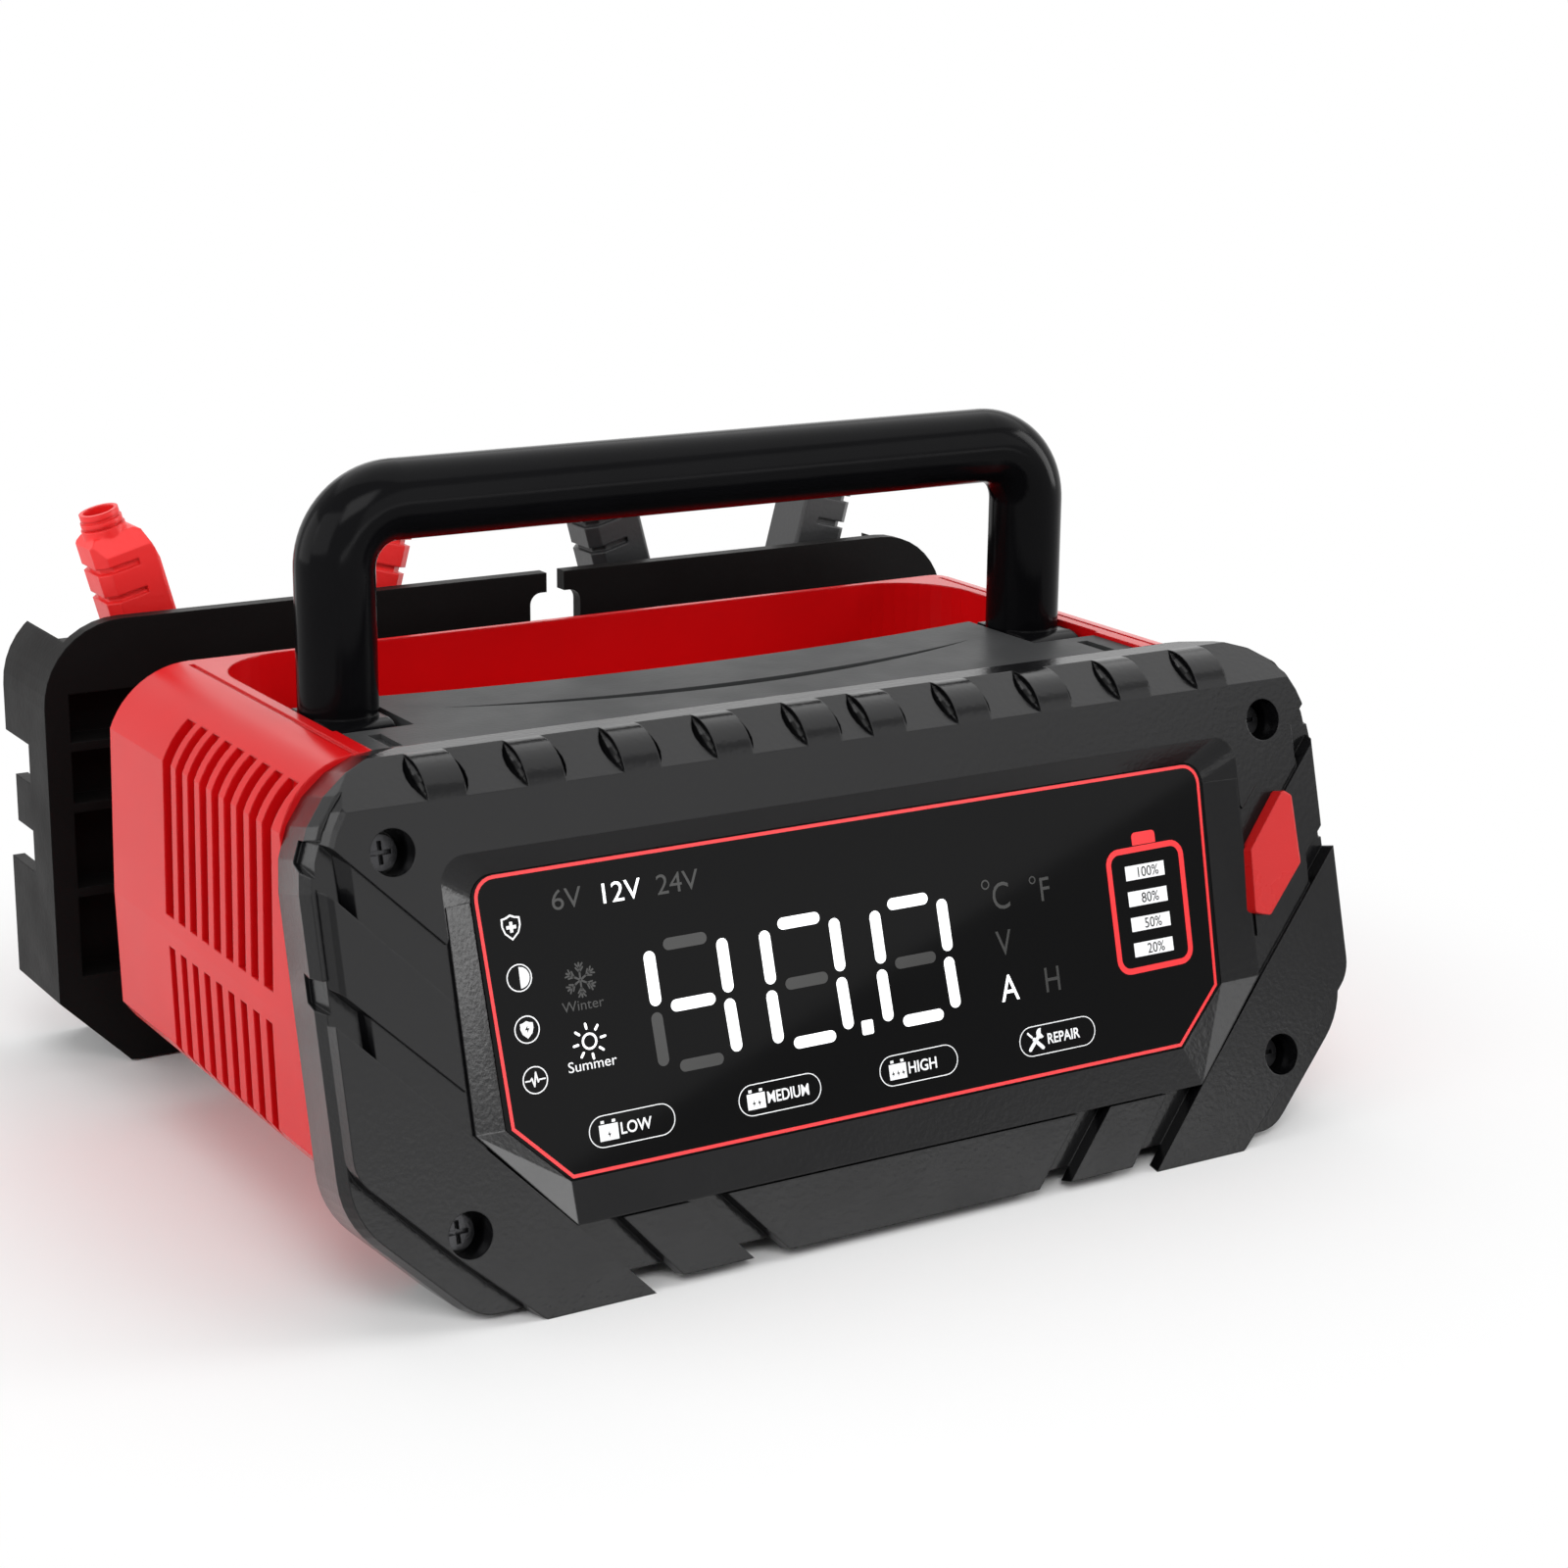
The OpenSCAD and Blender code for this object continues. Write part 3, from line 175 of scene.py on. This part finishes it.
M = {
    'bezel': moulded("bezel_black", (0.0035, 0.0035, 0.004), 0.20, rvary=0.02, spec=0.22),
    'flange': moulded("flange_black", (0.006, 0.0055, 0.0055), 0.42, radius=0.0005,
                      spec=0.3, ior=1.18),
    'deck': moulded("deck_grey", (0.045, 0.046, 0.047), 0.42, radius=0.0003, spec=0.3, ior=1.2),
    'red': moulded("housing_red", (0.62, 0.004, 0.006), 0.24, vary=0.05, rvary=0.03,
                   grain=0.000012, scale=500, radius=0.0006, spec=0.25, ior=1.42),
    'handle': moulded("handle_black", (0.003, 0.003, 0.0035), 0.14, vary=0.2, rvary=0.03,
                      grain=0.000008, scale=400, radius=0.0008, spec=0.14, ior=1.28),
    'glass': moulded("window_black", (0.0012, 0.0012, 0.0014), 0.05, vary=0.1, rvary=0.008,
                     grain=0.000001, scale=60, radius=0, spec=0.08),
    'marker': moulded("marker_red", (0.50, 0.008, 0.008), 0.3, vary=0.06, radius=0.0006, spec=0.3),
    'board': moulded("board_green", (0.02, 0.12, 0.05), 0.35, vary=0.3, clouds=60, radius=0.0001),
    'steel': moulded("plated_steel", (0.55, 0.56, 0.58), 0.28, metal=1.0, vary=0.08, rvary=0.08,
                     radius=0.0002),
    'screw': moulded("screw_black", (0.03, 0.03, 0.032), 0.3, metal=0.8, radius=0.0002),
    'copper': moulded("copper_plate", (0.80, 0.46, 0.20), 0.26, metal=1.0, vary=0.15, rvary=0.08,
                      radius=0.0002),
    'alu': moulded("sink_aluminium", (0.62, 0.63, 0.65), 0.35, metal=1.0, radius=0.0002),
    'core': moulded("core_varnish", (0.20, 0.15, 0.08), 0.4, vary=0.3, clouds=200, radius=0.0002),
    'cans': moulded("sleeve_blue", (0.03, 0.05, 0.16), 0.3, radius=0.0003),
    'rubber': moulded("foot_rubber", (0.015, 0.015, 0.015), 0.8, radius=0.0003),
    'clamp_red': moulded("clamp_red", (0.80, 0.012, 0.012), 0.42, vary=0.08, radius=0.0007,
                         grain=0.00005),
    'clamp_black': moulded("clamp_black", (0.014, 0.014, 0.015), 0.42, radius=0.0007,
                           grain=0.00005),
    'white': lit("mark_white", (0.95, 0.96, 0.97), 0.85),
    'print_white': lit("print_white", (0.80, 0.81, 0.82), 0.25),
    'ghost': lit("mark_ghost", (0.016, 0.016, 0.015), 0),
    'print_red': lit("print_red", (0.75, 0.015, 0.02), 0.25),
    'print_black': lit("print_black", (0.004, 0.004, 0.004), 0),
}

LOOK = {
    'front_bezel': 'bezel', 'bezel_back': 'flange', 'display_glass': 'glass',
    'display_board': 'board', 'side_accent': 'marker', 'front_screws': 'screw',
    'housing': 'red', 'deck_plate': 'deck', 'handle': 'handle', 'handle_pins': 'steel',
    'cable_drum': 'flange', 'rear_flange': 'flange', 'clamp_rests': 'flange',
    'rear_feet': 'rubber', 'rear_screws': 'screw', 'lead_glands': 'flange',
    'main_board': 'board', 'transformer': 'core', 'heat_sink': 'alu', 'capacitors': 'cans',
    'fan_frame': 'flange', 'fan_rotor': 'flange',
}
for c in ('red', 'black'):
    for part in ('arm_a', 'arm_b'):
        LOOK[f'{c}_{part}'] = 'clamp_' + c
    for part in ('jaw_a', 'jaw_b'):
        LOOK[f'{c}_{part}'] = 'copper'
    for part in ('pin', 'spring'):
        LOOK[f'{c}_{part}'] = 'steel'
for name, obj in nodes.items():
    obj.data.materials.clear()
    obj.data.materials.append(M[LOOK[name]])


# ---- flat marks on the window --------------------------------------------------------
class Marks:
    """Thin plates in the face's frame, gathered into one mesh."""

    def __init__(self, name, look, lift=0.06, thick=0.06):
        self.name, self.look, self.lift, self.thick = name, look, lift, thick
        self.bm = bmesh.new()

    def _take(self, curve, matrix=None):
        """Fill the curve, add its mesh to the marks and remove the curve again."""
        ob = bpy.data.objects.new("tmp", curve)
        link(ob)
        bpy.context.view_layer.update()
        deps = bpy.context.evaluated_depsgraph_get()
        me = bpy.data.meshes.new_from_object(ob.evaluated_get(deps))
        if matrix:
            me.transform(matrix)
        self.bm.from_mesh(me)
        bpy.data.meshes.remove(me)
        bpy.data.objects.remove(ob)
        bpy.data.curves.remove(curve)

    def loops(self, *loops):
        """Closed outlines, filled: an outline inside another is a hole."""
        cu = bpy.data.curves.new("tmp", 'CURVE')
        cu.dimensions = '2D'
        cu.fill_mode = 'BOTH'
        cu.extrude = self.thick / 2
        for pts in loops:
            sp = cu.splines.new('POLY')
            sp.points.add(len(pts) - 1)
            for q, (a, b) in zip(sp.points, pts):
                q.co = (a, b, 0, 1)
            sp.use_cyclic_u = True
        self._take(cu)

    def text(self, s, u, v, size, align='LEFT', squeeze=1.0, bold=0.0):
        cu = bpy.data.curves.new("tmp", 'FONT')
        cu.body = s
        cu.size = size
        cu.align_x = align
        cu.offset = bold
        cu.extrude = self.thick / 2
        cu.resolution_u = 4
        self._take(cu, Matrix.Translation((u, v, 0)) @ Matrix.Diagonal((squeeze, 1, 1, 1)))

    def done(self):
        me = bpy.data.meshes.new(self.name)
        self.bm.to_mesh(me)
        self.bm.free()
        me.transform(FACE @ Matrix.Translation((0, 0, GLASS_W + self.lift)))
        me.materials.append(M[self.look])
        ob = bpy.data.objects.new(self.name, me)
        link(ob)
        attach(ob, "base")


def arc(cu, cv, r, a0, a1, n=12):
    return [(cu + r * math.cos(math.radians(a0 + (a1 - a0) * i / n)),
             cv + r * math.sin(math.radians(a0 + (a1 - a0) * i / n))) for i in range(n + 1)]


def block(u0, u1, v0, v1):
    return [(u0, v0), (u1, v0), (u1, v1), (u0, v1)]


def disc(cu, cv, r, n=40):
    return arc(cu, cv, r, 0, 360 - 360 / n, n - 1)


def capsule(a, b, r, n=8):
    t = math.degrees(math.atan2(b[1] - a[1], b[0] - a[0]))
    return arc(b[0], b[1], r, t - 90, t + 90, n) + arc(a[0], a[1], r, t + 90, t + 270, n)


def rounded(pts, rs, n=6):
    """A polygon with its corners rounded."""
    out = []
    for i, (p, r) in enumerate(zip(pts, rs)):
        if r <= 0:
            out.append(p)
            continue
        b = Vector(p)
        a, c = Vector(pts[i - 1]), Vector(pts[(i + 1) % len(pts)])
        u, w = (a - b).normalized(), (c - b).normalized()
        h = math.acos(max(-1, min(1, u.dot(w)))) / 2
        m = b + (u + w).normalized() * r / math.sin(h)
        q0, q1 = b + u * r / math.tan(h), b + w * r / math.tan(h)
        s = math.atan2(q0.y - m.y, q0.x - m.x)
        d = math.atan2(q1.y - m.y, q1.x - m.x) - s
        d = (d + math.pi) % (2 * math.pi) - math.pi
        out += [(m.x + r * math.cos(s + d * k / n), m.y + r * math.sin(s + d * k / n))
                for k in range(n + 1)]
    return out


def inset(pts, d):
    """The polygon moved inwards by d; pts run anticlockwise."""
    out, n = [], len(pts)
    for i in range(n):
        a, b, c = Vector(pts[i - 1]), Vector(pts[i]), Vector(pts[(i + 1) % n])
        e0, e1 = (b - a).normalized(), (c - b).normalized()
        n0, n1 = Vector((-e0.y, e0.x)), Vector((-e1.y, e1.x))
        m = (n0 + n1).normalized()
        out.append(tuple(b + m * d / max(m.dot(n0), 0.2)))
    return out


def frame_line():
    """The red line round the window: its outer and its inner edge."""
    pts = [(-78.4, 8.6), (78.4, 8.6), (90.6, 20.8), (92.5, 72.3), (-92.5, 72.3), (-90.6, 20.8)]
    width = 0.75
    return rounded(pts, [0, 0, 0, 4.6, 4.6, 0]), rounded(inset(pts, width), [0, 0, 0, 3.9, 3.9, 0])


DIGIT_U, DIGIT_STEP = -54.75, 27.8              # left bars of the first digit, and the spacing
BAR_R = {'upright': 1.36, 'level': 1.28}        # half the width of a digit's bars


def segments(k):
    """The seven bars of the k-th digit, by the usual letters, as pairs of end points."""
    x = DIGIT_U + DIGIT_STEP * k
    return {'f': ((x, 50.3), (x + 0.2, 41.5)), 'b': ((x + 17.4, 50.3), (x + 17.6, 41.5)),
            'e': ((x, 37.5), (x + 0.3, 28.9)), 'c': ((x + 17.5, 37.5), (x + 17.9, 28.9)),
            'a': ((x + 4.8, 52.4), (x + 12.7, 52.4)), 'g': ((x + 4.9, 39.5), (x + 13.0, 39.5)),
            'd': ((x + 5.2, 26.8), (x + 13.2, 26.8))}


SNOW, SUN = (-71.1, 48.3), (-70.8, 35.6)        # centres of the two season signs
KEY_V, KEY_R, KEY_LINE = 16.75, 3.35, 0.2       # touch keys: height, end radius, line width
# a flash, two units high
BOLT = [(-.15, -1.0), (.75, .25), (.15, .2), (.3, 1.0), (-.6, -.2), (0, -.15)]
BAR_LEFT, BAR_RIGHT = 68.5, 79.5                # ends of the charge bars


def window_marks():
    red = Marks("window_outline", 'print_red')
    red.loops(*frame_line())
    # battery symbol
    case = [(63.4, 27.0), (84.9, 27.2), (85.4, 55.8), (63.4, 55.6)]
    red.loops(rounded(case, [3.6] * 4), rounded(inset(case, 1.35), [2.3] * 4))
    cap = [(71.3, 55.9), (77.9, 55.9), (77.9, 58.8), (71.3, 58.8)]
    red.loops(rounded(cap, [0.1, 0.1, 1.0, 1.0]))
    red.done()

    white, ghost = Marks("window_lit", 'white'), Marks("window_ghost", 'ghost', lift=0.05)
    for k, on in enumerate(('fgbc', 'abcdef', 'abcdef')):
        for s, (a, b) in segments(k).items():
            r = BAR_R['upright' if s in 'bcef' else 'level']
            (white if s in on else ghost).loops(capsule(a, b, r))
    white.loops(rounded([(-5.8, 25.6), (-2.9, 25.6), (-2.9, 28.7), (-5.8, 28.7)], [0.4] * 4))
    # voltage choices and units
    ghost.text("6V", -75.6, 63.2, 6.0, squeeze=1.08)
    white.text("12V", -64.9, 62.9, 6.0, squeeze=1.06)
    ghost.text("24V", -51.2, 62.8, 6.0, squeeze=1.06)
    ghost.loops(disc(30.2, 53.0, 1.1), disc(30.2, 53.0, 0.75))
    ghost.text("C", 31.4, 47.1, 8.6, squeeze=0.85)
    ghost.loops(disc(42.8, 52.2, 0.9), disc(42.8, 52.2, 0.6))
    ghost.text("F", 44.2, 47.2, 7.6, squeeze=0.9)
    ghost.text("V", 31.3, 36.9, 8.0, squeeze=0.85)
    ghost.text("H", 42.6, 26.9, 8.0, squeeze=0.85)
    white.text("A", 31.0, 26.7, 8.4, squeeze=0.85)
    # seasons: a snowflake and a sun
    for k in range(6):
        t = math.radians(60 * k + 30)
        c, s = math.cos(t), math.sin(t)

        def spot(a, b):
            return (SNOW[0] + a * c - b * s, SNOW[1] + a * s + b * c)
        ghost.loops(capsule(spot(0.3, 0), spot(3.5, 0), 0.22, 3))
        for a, b in ((1.6, 1.0), (2.4, 1.0)):
            ghost.loops(capsule(spot(a, 0), spot(a + b, b * 0.8), 0.18, 3))
            ghost.loops(capsule(spot(a, 0), spot(a + b, -b * 0.8), 0.18, 3))
    white.loops(disc(*SUN, 1.75), disc(*SUN, 1.3))
    for k in range(8):
        t = math.radians(45 * k + 8)
        c, s = math.cos(t), math.sin(t)
        white.loops(capsule((SUN[0] + 2.7 * c, SUN[1] + 2.7 * s),
                            (SUN[0] + 3.7 * c, SUN[1] + 3.7 * s), 0.26, 3))
    white.done()
    ghost.done()

    pr = Marks("window_print", 'print_white')
    # a shield with a cross, a half-filled ring, a shield with a flash, a pulse line
    sx, sy = -85.0, 61.3

    def shield(x, y, k):
        right = [(x + k * a, y + k * b) for a, b in
                 ((0, 1.0), (0.4, 0.82), (0.82, 0.74), (0.84, 0.1), (0.62, -0.5), (0, -1.05))]
        left = [(2 * x - p, q) for p, q in right[-2:0:-1]]
        return (right + left)[::-1]
    pr.loops(shield(sx, sy, 2.6), shield(sx, sy, 2.15))
    pr.loops([(sx + a, sy + b) for a, b in
              ((-.35, -1.1), (.35, -1.1), (.35, -.35), (1.1, -.35), (1.1, .35), (.35, .35),
               (.35, 1.1), (-.35, 1.1), (-.35, .35), (-1.1, .35), (-1.1, -.35), (-.35, -.35))])
    for x, y in ((-84.65, 50.9), (-84.4, 40.3), (-84.0, 29.9)):
        pr.loops(disc(x, y, 2.85), disc(x, y, 2.6))
    pr.loops(arc(-84.55, 50.9, 2.2, -90, 90, 16))
    pr.loops(shield(-84.4, 40.3, 1.75), [(-84.4 + a * 0.85, 40.35 + b * 0.85) for a, b in BOLT])
    line = [(-2.2, 0), (-1.1, 0), (-.75, .5), (-.3, -1.3), (.25, 1.6), (.6, -.5), (.9, 0), (2.2, 0)]
    for a, b in zip(line, line[1:]):
        pr.loops(capsule((-84 + a[0], 29.9 + a[1]), (-84 + b[0], 29.9 + b[1]), 0.15, 3))
    # touch keys
    for x, word, cells, wide in ((-63.5, "LOW", 1, 20.2), (-27.9, "MEDIUM", 2, 20.4),
                                 (7.4, "HIGH", 3, 20.4), (44.6, "REPAIR", 0, 20.8)):
        y = KEY_V
        ends = (x - wide / 2 + KEY_R, y), (x + wide / 2 - KEY_R, y)
        pr.loops(capsule(*ends, KEY_R, 16), capsule(*ends, KEY_R - KEY_LINE, 16))
        if cells:
            # a battery with a flash for each step, its two poles, and the word
            long = word == "MEDIUM"
            bx = x - (5.9 if long else 5.5)
            cuts = []
            for k in range(cells):
                ox = bx + (k - (cells - 1) / 2) * 1.3
                cuts.append([(ox + a * 0.62, y - 0.75 + b * 0.8) for a, b in BOLT])
            pr.loops(block(bx - 2.2, bx + 2.2, y - 2.0, y + 1.35), *cuts)
            pr.loops(block(bx - 1.7, bx - 0.9, y + 1.6, y + 2.2))
            pr.loops(block(bx + 0.9, bx + 1.7, y + 1.6, y + 2.2))
            pr.text(word, bx + 2.6, y - 1.25, 3.5, squeeze=0.8 if long else 0.9, bold=0.05)
        else:
            # a spanner across a screwdriver, and the word
            kx = x - 6.0
            pr.loops(capsule((kx - 1.7, y - 1.8), (kx + 0.9, y + 0.9), 0.42, 4))
            pr.loops(arc(kx + 1.5, y + 1.5, 1.15, 80, 310, 14) + [(kx + 1.5, y + 1.5)])
            pr.loops(capsule((kx + 1.8, y - 1.8), (kx - 0.4, y + 0.4), 0.42, 4))
            pr.loops(capsule((kx - 0.9, y + 0.9), (kx - 1.9, y + 1.9), 0.24, 4))
            pr.text(word, x - 2.9, y - 1.2, 3.3, squeeze=0.86, bold=0.05)
    pr.text("Summer", -70.8, 29.9, 3.1, align='CENTER', squeeze=1.08)
    # charge bars
    bars = ((49.8, 3.3, "100%"), (43.9, 3.4, "80%"), (38.1, 3.2, "50%"), (32.3, 3.2, "20%"))
    for y, h, _ in bars:
        pr.loops(block(BAR_LEFT, BAR_RIGHT, y - h / 2, y + h / 2))
    pr.done()
    dark = Marks("window_numbers", 'print_black', lift=0.13, thick=0.04)
    for y, h, word in bars:
        dark.text(word, 74.6, y - 1.15, 3.3, align='CENTER', squeeze=0.9)
    dark.done()
    gh = Marks("window_ghost_word", 'ghost', lift=0.05)
    gh.text("Winter", -71.2, 42.2, 3.0, align='CENTER', squeeze=1.08)
    gh.done()


window_marks()


def tube(bm, rings):
    """Close a row of four-cornered rings into one solid."""
    for p, q in zip(rings, rings[1:]):
        for k in range(4):
            bm.faces.new((p[k], p[(k + 1) % 4], q[(k + 1) % 4], q[k]))
    bm.faces.new(rings[0][::-1])
    bm.faces.new(rings[-1])


# ---- the slope of the window's border, which the solids have only along the top -------
LEDGE_W = -3.99         # just above the ledge that the wedge lies on
SLOPE_RISE = 4.25       # rise of the slope between its inner and outer edge
SLOPE_SHARE = 0.885     # share of the way at which the wedge ends, level with the plates


def border_slope():
    """A wedge on the ledge round the glass, flatter than the top border and twisted at corners."""
    inner = [(93.3, 67.6), (91.94, 21.0), (78.82, 8.1)]
    outer = [(101.3, 67.6), (101.3, 21.8), (80.5, -1.4)]
    inner += [(-u, v) for u, v in inner[::-1]]
    outer += [(-u, v) for u, v in outer[::-1]]
    bm = bmesh.new()

    low = GLASS_W + 0.02
    top = low + SLOPE_RISE * SLOPE_SHARE
    for i in range(len(inner) - 1):
        ring = []
        for (u, v), (far_u, far_v) in list(zip(inner, outer))[i:i + 2]:
            end = (u + SLOPE_SHARE * (far_u - u), v + SLOPE_SHARE * (far_v - v))
            ring.append([bm.verts.new(c) for c in
                         ((u, v, LEDGE_W), (u, v, low), (*end, top), (*end, LEDGE_W))])
        tube(bm, ring)
    bmesh.ops.recalc_face_normals(bm, faces=bm.faces)
    me = bpy.data.meshes.new("window_border")
    bm.to_mesh(me)
    bm.free()
    me.transform(FACE)
    me.materials.append(M['bezel'])
    ob = bpy.data.objects.new("window_border", me)
    link(ob)
    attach(ob, "base")


border_slope()


# ---- painted shade: a dark sheet on the floor of the deck's crescent groove -----------
ARC_NEAR, ARC_FAR = (257.6, 189.0), (321.3, 249.3)      # the groove's arcs: centre's y, radius
GROOVE_HALF, GROOVE_STEPS = 68, 48
GROOVE_GAP = 0.1        # between the painted shade sheet and the groove's walls
SHADE_SHEET_DEPTH, SHADE_SHEET_THICK = 1.15, 0.08     # the painted shade sheet's depth under the deck's top, and its thickness


def groove_painted_shade():
    """A thin dark sheet of painted shade that lies in the groove, between its two arcs."""
    bm = bmesh.new()
    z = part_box("deck_plate")[1][2] * 1000 - SHADE_SHEET_DEPTH
    rows = []
    for k in range(GROOVE_STEPS + 1):
        x = -GROOVE_HALF + 2 * GROOVE_HALF * k / GROOVE_STEPS
        near = ARC_NEAR[0] - math.sqrt(ARC_NEAR[1] ** 2 - x * x) + GROOVE_GAP
        far = ARC_FAR[0] - math.sqrt(ARC_FAR[1] ** 2 - x * x) - GROOVE_GAP
        if far - near > 0.05:
            rows.append([bm.verts.new((x, y, h)) for y, h in
                         ((near, z), (far, z), (far, z + SHADE_SHEET_THICK), (near, z + SHADE_SHEET_THICK))])
    tube(bm, rows)
    bmesh.ops.recalc_face_normals(bm, faces=bm.faces)
    me = bpy.data.meshes.new("deck_groove_painted_shade")
    bm.to_mesh(me)
    bm.free()
    me.transform(Matrix.Scale(MM, 4) @ Matrix.Translation((0, -MID_Y, 0)))
    # painted shade: the handle's black makes the groove read dark where its shadow falls
    me.materials.append(M['handle'])
    ob = bpy.data.objects.new("deck_groove_painted_shade", me)
    link(ob)
    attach(ob, "base")


groove_painted_shade()


# ---- floor, backdrop and light --------------------------------------------------------
FLOOR_TONE = (0.86, 0.90)       # its darkest and its lightest grey
FLOOR_FADE = (0.13, 0.28)       # metres from the middle, from floor to white backdrop
WORLD_FILL = 0.02               # what the world adds to the light on matt surfaces


def seen(nt):
    """1 for the rays that should meet the white background: camera, glossy and transmission."""
    lp = add(nt, 'ShaderNodeLightPath')
    either = add(nt, 'ShaderNodeMath', operation='MAXIMUM')
    nt.links.new(lp.outputs['Is Camera Ray'], either.inputs[0])
    nt.links.new(lp.outputs['Is Glossy Ray'], either.inputs[1])
    every = add(nt, 'ShaderNodeMath', operation='MAXIMUM')
    nt.links.new(either.outputs[0], every.inputs[0])
    nt.links.new(lp.outputs['Is Transmission Ray'], every.inputs[1])
    return every.outputs[0]


def stage():
    me = bpy.data.meshes.new("floor")
    bm = bmesh.new()
    bmesh.ops.create_grid(bm, x_segments=1, y_segments=1, size=8)
    bm.to_mesh(me)
    bm.free()
    floor = bpy.data.objects.new("floor", me)
    link(floor)
    # pale and matt, fading to the white of the backdrop away from the object
    m, nt, p = node_tree("floor_pale")
    geo = add(nt, 'ShaderNodeTexCoord')
    n = add(nt, 'ShaderNodeTexNoise')
    n.inputs['Scale'].default_value = 3
    nt.links.new(geo.outputs['Object'], n.inputs['Vector'])
    mr = add(nt, 'ShaderNodeMapRange')
    mr.inputs['To Min'].default_value, mr.inputs['To Max'].default_value = FLOOR_TONE
    nt.links.new(n.outputs['Fac'], mr.inputs['Value'])
    nt.links.new(mr.outputs['Result'], p.inputs['Base Color'])
    p.inputs['Roughness'].default_value = 0.9
    p.inputs['Specular IOR Level'].default_value = 0.1
    glow = add(nt, 'ShaderNodeEmission')
    glow.inputs['Color'].default_value = (1, 1, 1, 1)
    length = add(nt, 'ShaderNodeVectorMath', operation='LENGTH')
    nt.links.new(geo.outputs['Object'], length.inputs[0])
    fade = add(nt, 'ShaderNodeMapRange', interpolation_type='SMOOTHSTEP')
    fade.inputs['From Min'].default_value, fade.inputs['From Max'].default_value = FLOOR_FADE
    nt.links.new(length.outputs['Value'], fade.inputs['Value'])
    both = add(nt, 'ShaderNodeMath', operation='MULTIPLY')
    nt.links.new(fade.outputs['Result'], both.inputs[0])
    nt.links.new(seen(nt), both.inputs[1])
    mix = add(nt, 'ShaderNodeMixShader')
    nt.links.new(both.outputs[0], mix.inputs[0])
    nt.links.new(p.outputs[0], mix.inputs[1])
    nt.links.new(glow.outputs[0], mix.inputs[2])
    nt.links.new(mix.outputs[0], nt.nodes["Material Output"].inputs['Surface'])
    me.materials.append(m)

    world = bpy.data.worlds.new("studio")
    bpy.context.scene.world = world
    world.use_nodes = True
    nt = world.node_tree
    out = nt.nodes["World Output"]
    bg = nt.nodes["Background"]
    bg.inputs['Color'].default_value = (1, 1, 1, 1)
    bg.inputs['Strength'].default_value = WORLD_FILL
    white = add(nt, 'ShaderNodeBackground')
    white.inputs['Color'].default_value = (1, 1, 1, 1)
    white.inputs['Strength'].default_value = 1.0
    mix = add(nt, 'ShaderNodeMixShader')
    nt.links.new(seen(nt), mix.inputs[0])
    nt.links.new(bg.outputs[0], mix.inputs[1])
    nt.links.new(white.outputs[0], mix.inputs[2])
    nt.links.new(mix.outputs[0], out.inputs['Surface'])


def softbox(name, size, power, matrix):
    data = bpy.data.lights.new(name, 'AREA')
    data.shape = 'RECTANGLE'
    data.size, data.size_y = size
    data.energy = power
    ob = bpy.data.objects.new(name, data)
    ob.visible_camera = False
    ob.matrix_world = matrix
    link(ob)


def area(name, pos, aim, w, h, power):
    """A softbox at pos that faces aim, w wide along the level and h high."""
    z = (Vector(pos) - Vector(aim)).normalized()
    x = Vector((0, 0, 1)).cross(z).normalized()
    m = Matrix((x, z.cross(x), z)).transposed().to_4x4()
    softbox(name, (w, h), power, Matrix.Translation(pos) @ m)


CARD_EDGE = Vector((0.8362, -1.4400, 0.2367))       # the point its lower edge passes
CARD_FACES = Vector((0.52263, -0.84494, 0.11377))   # from the window towards the card
CARD_TILT = math.radians(17.4)
CARD_LOW = 0.006        # how far below that point the edge runs


def card(width, height, power):
    """A softbox at the front right, whose lower edge falls as a diagonal across the window."""
    ex = Vector((0, 0, 1)).cross(CARD_FACES).normalized()
    ey = CARD_FACES.cross(ex)
    along = ex * math.cos(CARD_TILT) + ey * math.sin(CARD_TILT)
    over = ey * math.cos(CARD_TILT) - ex * math.sin(CARD_TILT)
    m = Matrix((along, over, CARD_FACES)).transposed().to_4x4()
    m.translation = CARD_EDGE + over * (height / 2 - CARD_LOW)
    softbox("card", (width, height), power, m)


stage()
# place, aim, width and height in metres, power in watts
area("key_left", (-1.45, 0.75, 0.55), (0, 0.02, 0.06), 1.3, 1.0, 9)
area("side_left", (-1.6, -0.5, 0.9), (-0.1, 0, 0.06), 1.6, 1.2, 14)
area("far_right", (1.78, -0.60, 0.55), (0, -0.1, 0.06), 0.6, 1.3, 17)
area("low_front", (0.32, -1.45, 0.05), (0, -0.1, 0.05), 1.5, 0.10, 1.8)
area("front_top", (-0.55, -1.35, 1.4), (0, 0, 0.06), 1.1, 0.8, 15)
area("top", (0.5, 0.45, 1.6), (0, 0, 0.08), 3.0, 2.2, 25)
area("back_right", (1.0, 1.65, 0.45), (0, 0, 0.1), 2.0, 0.8, 1.6)
card(1.6, 0.9, 5.5)

bpy.context.scene.view_settings.view_transform = 'Standard'
